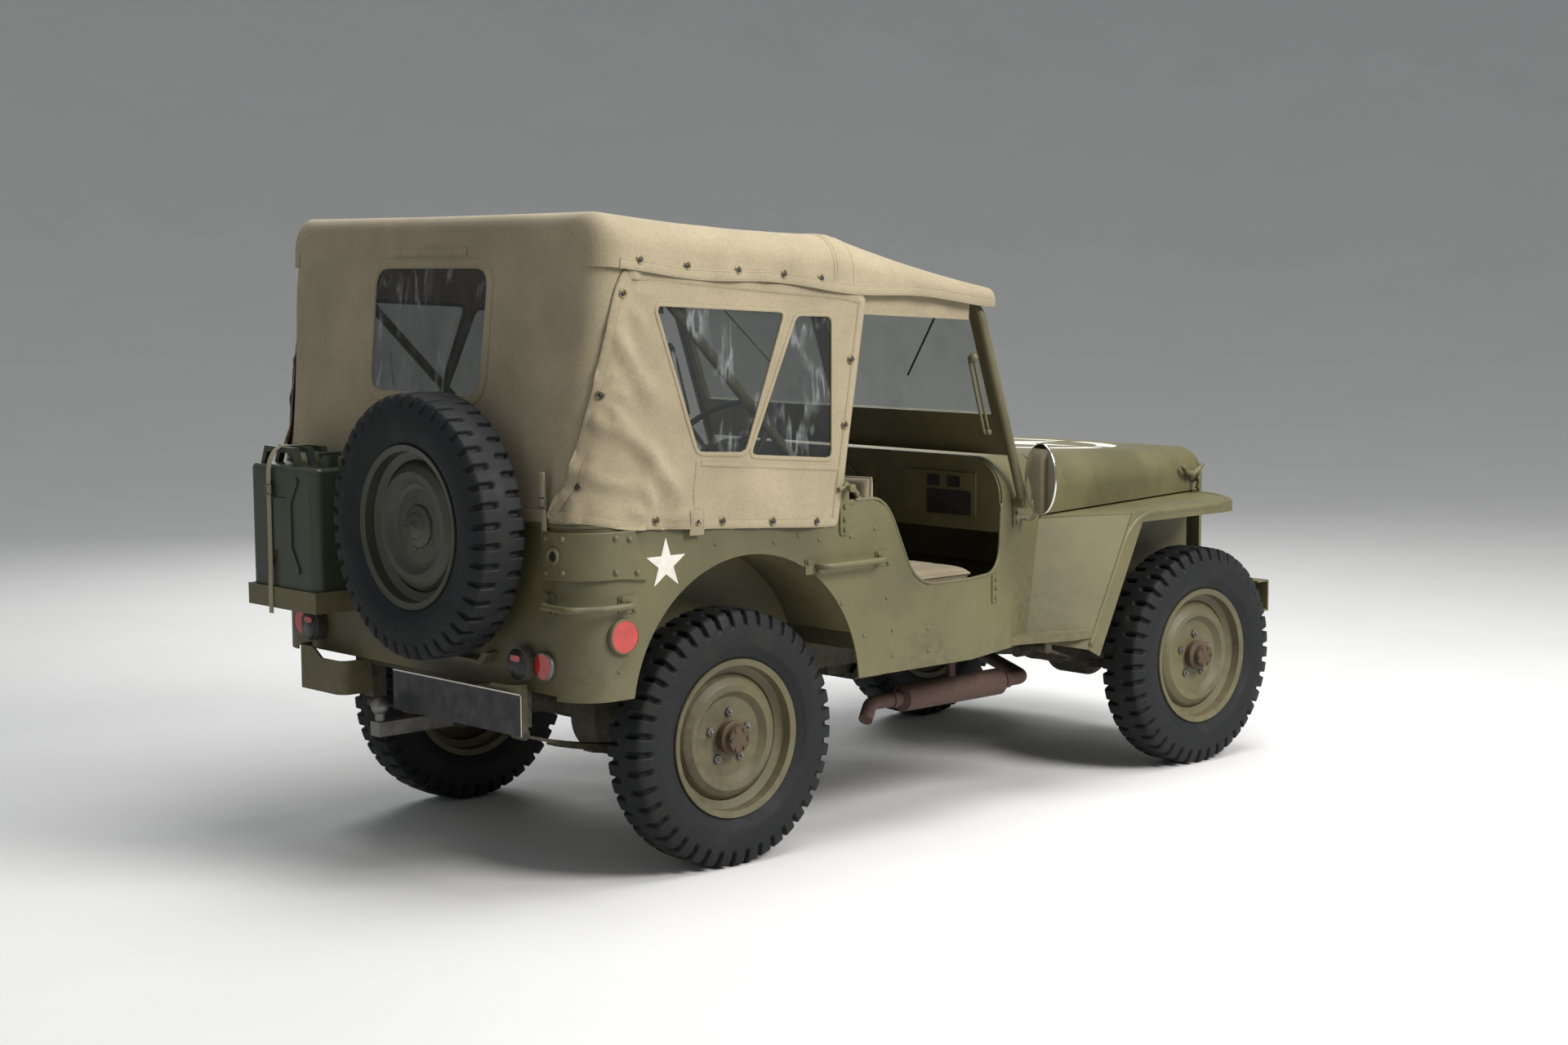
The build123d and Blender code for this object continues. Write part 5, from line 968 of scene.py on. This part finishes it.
for side, sign in sides:
    out = sign * outY
    v, w = np.meshgrid(np.linspace(0, 1, s["rows"]), np.linspace(0, 1, s["columns"]), indexing="ij")
    edge = s["side"][1] + (s["side"][0] - s["side"][1]) * v
    level = s["low"] + (s["high"] - s["low"]) * v - s["droop"] * np.clip(w - 0.7, 0, None) / 0.3 * (1 - v)
    x, y, turn = tubPlan(s["rear"] + (edge - s["rear"]) * w, sign, s["stand"])
    faces = gridFaces(s["rows"], s["columns"])[:, ::1 if sign < 0 else -1]
    plate = addPiece("cornerPlate" + side, np.stack([x, y, level], -1), faces, oliveDrab)
    thicken(plate, s["thick"])
    bevel = plate.modifiers.new("edge", "BEVEL")
    bevel.width, bevel.segments = s["edge"], 2
    places, ways = skinPlaces(s["bolts"], sign, s["stand"])
    addPiece("cornerBolts" + side, *rivets(places, ways, *s["bolt"]), oliveDrab)
    places, ways = skinPlaces(s["socket"], sign, s["stand"])
    addPiece("cornerSocket" + side, *studField(places, ways, eyeletRings * s["socketSize"], 24), oliveDrab)
    # the socket's hole: a flat black disc, painted shade inside the hole
    addPiece("cornerHole" + side, *studField(places, ways, s["holeShade"], 24), plateBlack)
    spreadX, spreadZ = s["padSpread"]
    padFace = spot(s["padX"], sign * (s["padY"] + s["padThick"]), s["padZ"])
    tailX, tailY = s["rearPad"]
    rearFace = spot(tailX - s["padThick"], sign * tailY, s["padZ"])
    pads = joinSets(flankPlate(boxEdge(*s["pad"]), s["padX"], s["padZ"], sign, s["padThick"], s["padY"]),
                    bolts(padFace + np.array([[-spreadX, 0, spreadZ], [spreadX, 0, -spreadZ]]), out, *s["padNut"]),
                    rearPlate(boxEdge(*s["pad"][::-1]), tailX, sign * tailY, s["padZ"], s["padThick"]),
                    bolts(rearFace + np.outer([-s["rearSpread"], s["rearSpread"]], upZ), aft, *s["padNut"]))
    addPiece("cornerPads" + side, *pads, oliveDrab, smooth=False)

# fittings of the tub's sides: rivets and handle feet, the bow's strap and knob, hinge plates where the side draws in to
# the cowl, a bead round the door's edge, and a rolled edge down the fender's slope, along its top and round its front
tubSettings = {"rivets": [(0.090, 0.893), (0.258, 0.887), (0.380, 0.886), (0.521, 0.700), (0.543, 0.604),
                          (0.690, 0.593), (0.543, 0.531), (0.690, 0.528), (0.345, 0.700), (0.430, 0.600),
                          (-0.120, 0.905), (0.180, 0.905), (0.475, 0.900), (-0.455, 0.770), (-0.455, 0.600)],
               "rivet": (0.0062, 0.005),
               "feet": (0.232, 0.503), "footZ": 0.815, "foot": (0.058, 0.044), "footThick": 0.003, "footY": 0.738,
               "footSpread": (0.019, 0.013), "footBolt": (0.0068, 0.008),
               "strap": (0.034, 0.152, 0.012), "strapPlace": (0.352, 0.968), "strapThick": 0.005, "strapY": 0.740,
               "nubs": (0.908, 0.936, 0.972), "nub": (0.0070, 0.009), "knobZ": 1.026,
               "knob": [(0.013, 0.0), (0.013, 0.010), (0.009, 0.014), (0.008, 0.026), (0.012, 0.028), (0.012, 0.034),
                        (0.0, 0.036)], "lug": [(0.322, 0.747, 1.022), (0.336, 0.747, 1.026), (0.352, 0.747, 1.026)],
               "drawX": 0.870, "drawIn": (0.735 - 0.607) / 0.440, "hingeBolt": (0.0062, 0.008), "hingeGap": 0.028,
               "hinges": [(1.015, 0.676, 0.040, 0.084), (1.150, 0.888, 0.042, 0.082)], "hingeThick": 0.004,
               "door": [(0.400, 0.985), (0.520, 0.985), (0.640, 0.720), (0.868, 0.720), (1.045, 0.720),
                        (1.0615, 0.925)],
               "bead": 0.0048, "beadY": 0.7325, "roll": 0.0105,
               "fender": [(1.408, 0.729, 0.462), (1.609, 0.729, 0.8545), (2.120, 0.729, 0.8560), (2.263, 0.563, 0.8560),
                          (2.288, 0.420, 0.8560)]}
s = tubSettings
for side, sign in sides:
    out, flip = sign * outY, np.array([1.0, sign, 1.0])
    marks = np.array(s["rivets"])
    fittings = [rivets(np.insert(marks + (rearX, 0), 1, sign * tubHalf, axis=1), out, *s["rivet"])]
    spreadX, spreadZ = s["footSpread"]
    for x in s["feet"]:
        fittings.append(flankPlate(boxEdge(*s["foot"]), x, s["footZ"], sign, s["footThick"]))
        ends = spot(x, sign * s["footY"], s["footZ"]) + np.array([[-spreadX, 0, spreadZ], [spreadX, 0, -spreadZ]])
        fittings.append(bolts(ends, out, *s["footBolt"]))
    addPiece("sideRivets" + side, *joinSets(*fittings), oliveDrab, smooth=False)
    strapX, strapZ = s["strapPlace"]
    strap = [flankPlate(boxEdge(*s["strap"]), strapX, strapZ, sign, s["strapThick"]),
             bolts([spot(strapX, sign * s["strapY"], z) for z in s["nubs"]], out, *s["nub"]),
             studField(spot(strapX, sign * s["strapY"], s["knobZ"]), out, s["knob"], 14),
             barSet(np.array(s["lug"]) * flip + spot(0, 0, 0), upZ, 0.007)]
    addPiece("bowStrap" + side, *joinSets(*strap), oliveDrab, smooth=False)
    ahead, outer = unit(np.array([1.0, -sign * s["drawIn"], 0])), unit(np.array([s["drawIn"], sign, 0]))
    plates = []
    for x, z, wide, high in s["hinges"]:
        place = spot(x, sign * (tubHalf - s["drawIn"] * (x - s["drawX"]) + 0.0003), z)
        plates.append(plateSet(boxEdge(wide, high), place, -sign * ahead, upZ, s["hingeThick"]))
        rises = np.outer([-s["hingeGap"], 0.0, s["hingeGap"]], upZ)
        plates.append(bolts(place + outer * s["hingeThick"] + rises, outer, *s["hingeBolt"]))
    addPiece("hingePlates" + side, *joinSets(*plates), oliveDrab, smooth=False)
    line = evenPath(roundedPath(s["door"], 0.088, 9), 0.012)
    doorY = s["beadY"] - s["drawIn"] * np.clip(line[:, 0] - s["drawX"], 0, None)
    bead = np.stack([rearX + line[:, 0], sign * doorY, line[:, 1] + 0.0015], -1)
    addPiece("doorBead" + side, *barSet(bead, out, s["bead"]), oliveDrab)
    line = evenPath(roundedPath(s["fender"], 0.10, 10), 0.012) * flip + spot(0, 0, 0)
    addPiece("fenderRoll" + side, *barSet(line, (0.2, 0.1, 1.0), s["roll"], 12), oliveDrab)
print("tub bolted")

# rolled rim of the tub: a bead along its top edge, round the rear from one door to the other
rimSettings = {"side": (0.395, -0.480, 30), "corner": (-0.500, -0.700, 40), "across": (-0.900, -1.100), "z": 0.9810,
               "inset": -0.0050, "radius": 0.0085}
s = rimSettings
along = np.concatenate([np.linspace(*s["side"]), np.linspace(*s["corner"]), s["across"]])
x, y, _ = tubPlan(along, 1.0, s["inset"])
rim = np.stack([x, y, np.full_like(x, s["z"])], -1)
rim = np.vstack([rim, rim[::-1] * np.array([1.0, -1.0, 1.0])])
addPiece("tubRim", *barSet(rim, upZ, s["radius"], 10), oliveDrab)

# stars: five-pointed plates on each side, and on the hood inside a broken ring that follows the hood's slope
starSettings = {"side": 0.070, "place": (-0.294, 0.868), "hood": 0.300, "ring": (0.330, 0.395), "gap": 0.09,
                "hoodPlace": 1.785, "hoodTop": (1.056, 1.010), "lift": 0.0007}
s = starSettings
for side, sign in sides:
    star = flankPlate(starEdge(s["side"]), *s["place"], sign, s["lift"], 0.7353)
    addPiece("sideStar" + side, *star, markWhite, smooth=False)
slope = (s["hoodTop"][1] - s["hoodTop"][0]) / hoodLength
hoodMid = spot(s["hoodPlace"], 0, s["hoodTop"][0] + slope * (s["hoodPlace"] - hoodBack) + s["lift"])
hoodPlane = hoodMid, unit(np.array([1.0, 0, slope])), outY, s["lift"]
marks = [plateSet(starEdge(s["hood"], 0.0), *hoodPlane)]
for start in np.arange(5) * 2 * np.pi / 5:
    angle = np.linspace(start + s["gap"], start + 2 * np.pi / 5 - s["gap"], 22)
    arc = np.stack([np.cos(angle), np.sin(angle)], -1)
    marks.append(layerSet(arc * s["ring"][0], arc * s["ring"][1], *hoodPlane, band=True))
addPiece("hoodStar", *joinSets(*marks), markWhite, "hood", smooth=False)
print("stars set")

# lamps: dark housings beside the red lenses, rims round each lens; a blank sign with a pale edge under the spare
lampSettings = {"tailY": 0.585, "dimY": 0.502, "z": 0.612, "skin": -0.5753, "face": 0.0342,
                "dimReach": 0.047, "dimFront": 0.570, "lensFace": 0.298, "lensThick": 0.002, "sideSkin": 0.7353,
                "window": (0.040, 0.016, 0.007), "windowPlace": (-0.6145, 0.628), "windowThick": 0.0015,
                "side": (-0.443, 0.692),
                "rim": [(0.0395, 0.0), (0.0395, 0.010), (0.0375, 0.0155), (0.0345, 0.0150)],
                "sideRim": [(0.0480, 0.0), (0.0480, 0.008), (0.0455, 0.0135), (0.0425, 0.0128)],
                "dim": [(0.041, 0.0), (0.038, 0.003), (0.0, 0.005)]}
s = lampSettings
fromDim = lambda p: np.abs(np.abs(p[:, 1]) - s["dimY"])
refinish("rear_lamps", darkOlive, lambda p, n: (fromDim(p) < s["dimReach"]) & (p[:, 0] < rearX - s["dimFront"]))
refinish("headlamps", oliveDrab, lambda p, n: p[:, 0] < frontX + s["lensFace"] - s["lensThick"])
rims, sideRims, dims, windows = [], [], [], []
for side, sign in sides:
    rims.append(studField(spot(s["skin"], sign * s["tailY"], s["z"]), aft, s["rim"], 36))
    sideRims.append(studField(spot(s["side"][0], sign * s["sideSkin"], s["side"][1]), sign * outY, s["sideRim"], 40))
    dims.append(studField(spot(s["skin"] - s["face"], sign * s["dimY"], s["z"]), aft, s["dim"], 32))
    windowX, windowZ = s["windowPlace"]
    windows.append(rearPlate(boxEdge(*s["window"]), windowX, sign * s["dimY"], windowZ, s["windowThick"]))
addPiece("lampRims", *joinSets(*rims), bareSteel)
addPiece("reflectorRims", *joinSets(*sideRims), oliveDrab)
addPiece("dimFaces", *joinSets(*dims), plateBlack)
addPiece("dimWindows", *joinSets(*windows), lampRed, smooth=False)
signSettings = {"middle": (-0.6495, -0.284, 0.4905), "size": (0.588, 0.112), "thick": 0.004, "edge": 0.004,
                "lift": 0.0041}
s = signSettings
(x, y, z), (w, h), edge = s["middle"], s["size"], s["edge"]
addPiece("blankSign", *rearPlate(boxEdge(w, h, 0.002), x, y, z, s["thick"]), plateBlack, smooth=False)
bars = [rearPlate(boxEdge(wide, high, 0.001), x - s["lift"], y + dy, z + dz, 0.0005)
        for wide, high, dy, dz in ((w, edge, 0, h / 2 - edge / 2), (edge, h, -w / 2 + edge / 2, 0))]
addPiece("signEdge", *joinSets(*bars), markWhite, smooth=False, slotName="paint_dark")
print("lamps rimmed")

# mirrors: silver glass behind, olive shell in front, bright rim round the oval
mirrorSettings = {"place": (1.134, 0.770, 1.000), "oval": (0.0585, 0.1045), "rim": 0.0045}
s = mirrorSettings
refinish("mirrors", oliveDrab, lambda p, n: n[:, 0] > -0.5)
for side, sign in sides:
    angle = np.linspace(0, 2 * np.pi, 48, endpoint=False)
    oval = np.stack([0 * angle, s["oval"][0] * np.cos(angle), s["oval"][1] * np.sin(angle)], -1)
    oval = oval + spot(*s["place"]) * np.array([1.0, sign, 1.0])
    addPiece("mirrorRim" + side, *barSet(oval, -aft, s["rim"], closed=True), brightRim)
refinish("mirrors", mirrorFace, lambda p, n: n[:, 0] < -0.9)
print("mirrors silvered")

# webbing straps: flat bands along a path, a wire buckle on each
strapProfile = np.array([[-0.5, 0.0], [-0.48, 1.0], [0.48, 1.0], [0.5, 0.0], [0.48, -0.2], [-0.48, -0.2]])
strapSettings = {"can": [(-0.7640, 0.668), (-0.7640, 0.740), (-0.7620, 0.800), (-0.7620, 1.075), (-0.7550, 1.108),
                         (-0.7300, 1.141), (-0.6200, 1.141), (-0.5950, 1.120)], "canY": 0.452,
                 "tail": [(-0.5890, -0.598, 1.120), (-0.5900, -0.598, 1.060), (-0.5840, -0.597, 1.020),
                          (-0.5830, -0.596, 0.975), (-0.5835, -0.600, 0.925)], "width": 0.021, "thick": 0.0022,
                 "canBuckle": (-0.7655, 0.452, 1.020), "tailBuckle": (-0.5905, -0.5975, 1.040),
                 "buckle": (0.032, 0.026), "wire": 0.0021}
s = strapSettings


def addStrap(name, path, up):
    points, faces = sweepProfile(path, up, strapProfile * (s["width"], s["thick"]), closeProfile=True, caps=True)
    strap = addPiece(name, points, faces, topDuck)
    clothMap(strap, points[:, 1:])
    return strap, float(pathLengths(path)[-1])


route = evenPath(roundedPath(s["can"], 0.02, 6), 0.008)
path = np.insert(route + (rearX, 0), 1, s["canY"], axis=1)
ahead = np.gradient(path, axis=0)
canStrap, canLength = addStrap("canStrap", path, np.stack([-ahead[:, 2], 0 * ahead[:, 0], ahead[:, 0]], -1))
hanging = evenPath(roundedPath(s["tail"], 0.02, 6), 0.006) + spot(0, 0, 0)
tailStrap, tailLength = addStrap("tailStrap", hanging, aft)
for name, strap, length, held, rest in (("can", canStrap, canLength, "stretched", "jerry_can"),
                                        ("tail", tailStrap, tailLength, "hung", "rear_curtain")):
    ring = np.insert(boxEdge(*s["buckle"]), 0, 0.0, axis=1) + spot(*s[name + "Buckle"])
    buckle = addPiece(name + "Buckle", *barSet(ring, aft, s["wire"], 6, closed=True), bareSteel)
print("straps drawn")

# snaps and eyelets along the canvas
snapSettings = {"valance": (-0.379, -0.223, -0.045, 0.120, 0.249), "column": 5, "rim": (0.0125, 0.012),
                "middle": [(0.0075, 0.0008), (0.0070, 0.0020), (0.0048, 0.0034), (0.0, 0.0038)]}
s = snapSettings
snapFlat = np.array(curtainSettings["snaps"])
rows = np.argmin(np.abs(deckX - rearX - np.array(s["valance"])[:, None]), axis=1)
for side, sign in sides:
    column = -1 - s["column"] if sign > 0 else s["column"]
    places = np.vstack([sideHang(snapFlat, sign, 0.0018), deckGrid[rows, column] + outY * sign * 0.0006])
    ways = np.vstack([facing(snapFlat, sign), np.tile(outY * sign, (len(rows), 1))])
    addPiece("snapRims" + side, *studField(places, ways, eyeletRings * s["rim"], 18), brass)
    addPiece("snaps" + side, *studField(places, ways, s["middle"], 14), plateBlack)
print("canvas fastened")

# windscreen fittings: slotted arms with knobs inside the posts, wipers in front; hood catches; blank plates on the
# panel
screenSettings = {"arm": [(0.922, 0.684, 1.370), (0.990, 0.684, 1.140)], "slot": 0.010, "wire": 0.0045,
                  "knob": (0.016, 0.026), "armBolt": (0.009, 0.014), "knobShift": (0.006, -0.004),
                  "boltShift": (0.004, 0.004), "armCut": 0.009,
                  "wiper": [(0.972, 0.520, 1.530), (1.048, 0.300, 1.300)], "blade": 0.0035, "wiperBolt": (0.010, 0.016)}
catchSettings = {"place": (2.235, 0.930), "hoodHalf": (0.600, 0.425), "lugs": [(0, 0, 0), (0.038, 0, -0.020)],
                 "lug": [(0.016, 0.0), (0.016, 0.005), (0.010, 0.007), (0.009, 0.026), (0.012, 0.028), (0.0, 0.031)],
                 "wing": [(-0.052, 0.030, 0.026), (-0.030, 0.026, 0.004), (0.006, 0.026, -0.004), (0.040, 0.026, 0.012),
                          (0.052, 0.028, 0.030)],
                 "stem": [(0.038, 0.024, 0.010), (0.040, 0.024, -0.034), (0.040, 0.018, -0.055)],
                 "bars": (0.0085, 0.0075)}
for side, sign in sides:
    s, out, flip = screenSettings, sign * outY, np.array([1.0, sign, 1.0])
    start, finish = (spot(*place) * flip for place in s["arm"])
    half = s["slot"] * -aft
    armPath = roundedPath([start - half, start + half, finish + half, finish - half], s["armCut"], 5, True)
    knob, foot = (end + out * away + upZ * rise for end, (away, rise) in
                  ((start, s["knobShift"]), (finish, s["boltShift"])))
    arm = [barSet(armPath, out, s["wire"], closed=True), rivets(knob, out, *s["knob"], 14),
           bolts(foot, out, *s["armBolt"])]
    addPiece("screenArm" + side, *joinSets(*arm), oliveDrab)
    start, finish = (spot(*place) * flip for place in s["wiper"])
    wiper = [barSet(evenPath([start, finish], 0.02), -aft, s["blade"], 6),
             bolts(start, (1.0, 0, 0.3), *s["wiperBolt"], 8)]
    addPiece("wiper" + side, *joinSets(*wiper), darkOlive)
    s = catchSettings
    x, z = s["place"]
    half = s["hoodHalf"][0] - (s["hoodHalf"][0] - s["hoodHalf"][1]) * (x - hoodBack) / hoodLength + 0.001
    base = spot(x, sign * half, z)
    catch = [studField(base + np.array(s["lugs"]), out, s["lug"], 14)]
    for route, radius, count in zip((s["wing"], s["stem"]), s["bars"], (10, 8)):
        line = evenPath(roundedPath(base + np.array(route) * flip, 0.012, 5), 0.006)
        catch.append(barSet(line, out, radius, count))
    addPiece("hoodCatch" + side, *joinSets(*catch), oliveDrab, "hood")
panelSettings = {"x": 1.0512, "thick": 0.0012, "plates": [(0.185, 0.074, -0.470, 0.918), (0.052, 0.034, -0.405, 0.982),
                                                         (0.052, 0.034, -0.490, 0.982)]}
s = panelSettings
plates = [rearPlate(boxEdge(wide, high), s["x"], y, z, s["thick"]) for wide, high, y, z in s["plates"]]
addPiece("blankPlates", *joinSets(*plates), plateBlack, smooth=False)
print("screen fitted")

# camera as fitted to the photo, from behind on the right
cameraSettings = {"place": (-4.4972 + rearX, -5.7807, 1.6695), "yaw": 0.829, "pitch": 0.1055, "roll": -0.0074,
                  "lens": 57.98}
s = cameraSettings
look = np.array([np.cos(s["yaw"]) * np.cos(s["pitch"]), np.sin(s["yaw"]) * np.cos(s["pitch"]), -np.sin(s["pitch"])])
level = unit(np.cross(look, upZ))
upright = np.cross(level, look)
right = level * np.cos(s["roll"]) + upright * np.sin(s["roll"])
upright = upright * np.cos(s["roll"]) - level * np.sin(s["roll"])
camera = bpy.data.objects.new("photoCamera", bpy.data.cameras.new("photoCamera"))
camera.data.lens, camera.data.sensor_width = s["lens"], 36.0
camera.matrix_world = Matrix([*np.stack([right, upright, -look, s["place"]], -1).tolist(), [0, 0, 0, 1]])
scene.collection.objects.link(camera)
scene.camera = camera


# soft studio light: large area lamps, each with its place, aim, size, power and tint, and a pale world
lightSettings = {"skyLamp": ((0.5, -1.5, 7.0), (0.2, 0, 0.5), 5.0, 430, (1.0, 1.0, 1.0)),
                 "keyLamp": ((1.4, -6.6, 5.4), (0, 0, 0.9), 3.5, 690, (1.0, 0.98, 0.95)),
                 "fillLamp": ((-7.0, -1.0, 3.0), (0, 0, 0.8), 5.0, 30, (0.93, 0.96, 1.0)),
                 "backLamp": ((3.0, 5.0, 4.0), (0, 0, 1.0), 4.0, 160, (1.0, 1.0, 1.0))}
roomSettings = {"tint": (0.82, 0.84, 0.86, 1.0), "strength": 0.36}


def addLamp(name, place, aim, size, power, tint):
    light = bpy.data.lights.new(name, "AREA")
    light.shape, light.size, light.energy, light.color = "DISK", size, power, tint
    lamp = bpy.data.objects.new(name, light)
    lamp.location = place
    lamp.rotation_euler = (Vector(aim) - Vector(place)).to_track_quat("-Z", "Y").to_euler()
    scene.collection.objects.link(lamp)


for name, values in lightSettings.items():
    addLamp(name, *values)
scene.world = bpy.data.worlds.new("paleRoom")
scene.world.use_nodes = True
sky = scene.world.node_tree.nodes["Background"].inputs
sky["Color"].default_value, sky["Strength"].default_value = roomSettings["tint"], roomSettings["strength"]

# floor: a wide sheet that curves up far out on every side, height growing with the square of the distance past its bend
floorSettings = {"reach": 30, "count": 120, "bend": 9.0, "rise": 0.02,
                 "tones": ((0.630, 0.630, 0.622), (0.645, 0.645, 0.638)), "gloss": (0.72, 0.86)}
s = floorSettings
bench = Bench("paleFloor")
tone = bench.mix(bench.step(bench.noise(1.1, 4.0), 0.3, 0.7), *s["tones"])
floorPaint = bench.close(Base_Color=tone, Roughness=bench.step(bench.noise(4.0, 4.0), 0.3, 0.7, *s["gloss"]))
reach = np.linspace(-s["reach"], s["reach"], s["count"])
deep, wide = np.meshgrid(reach, reach, indexing="ij")
rise = s["rise"] * np.clip(np.hypot(deep, wide) - s["bend"], 0, None) ** 2
points = deep[..., None] * look * (1, 1, 0) + wide[..., None] * level * (1, 1, 0) + rise[..., None] * upZ
mesh = bpy.data.meshes.new("studioFloor")
mesh.from_pydata(points.reshape(-1, 3).tolist(), [], gridFaces(s["count"], s["count"]).tolist())
mesh.polygons.foreach_set("use_smooth", np.ones(len(mesh.polygons), bool))
mesh.materials.append(floorPaint)
studioFloor = bpy.data.objects.new("studioFloor", mesh)
scene.collection.objects.link(studioFloor)

# points drawn in to one place, at poles and capped ends, become one
for piece in madePieces:
    shape = bmesh.new()
    shape.from_mesh(piece.data)
    bmesh.ops.remove_doubles(shape, verts=shape.verts, dist=1e-5)
    shape.to_mesh(piece.data)
    shape.free()
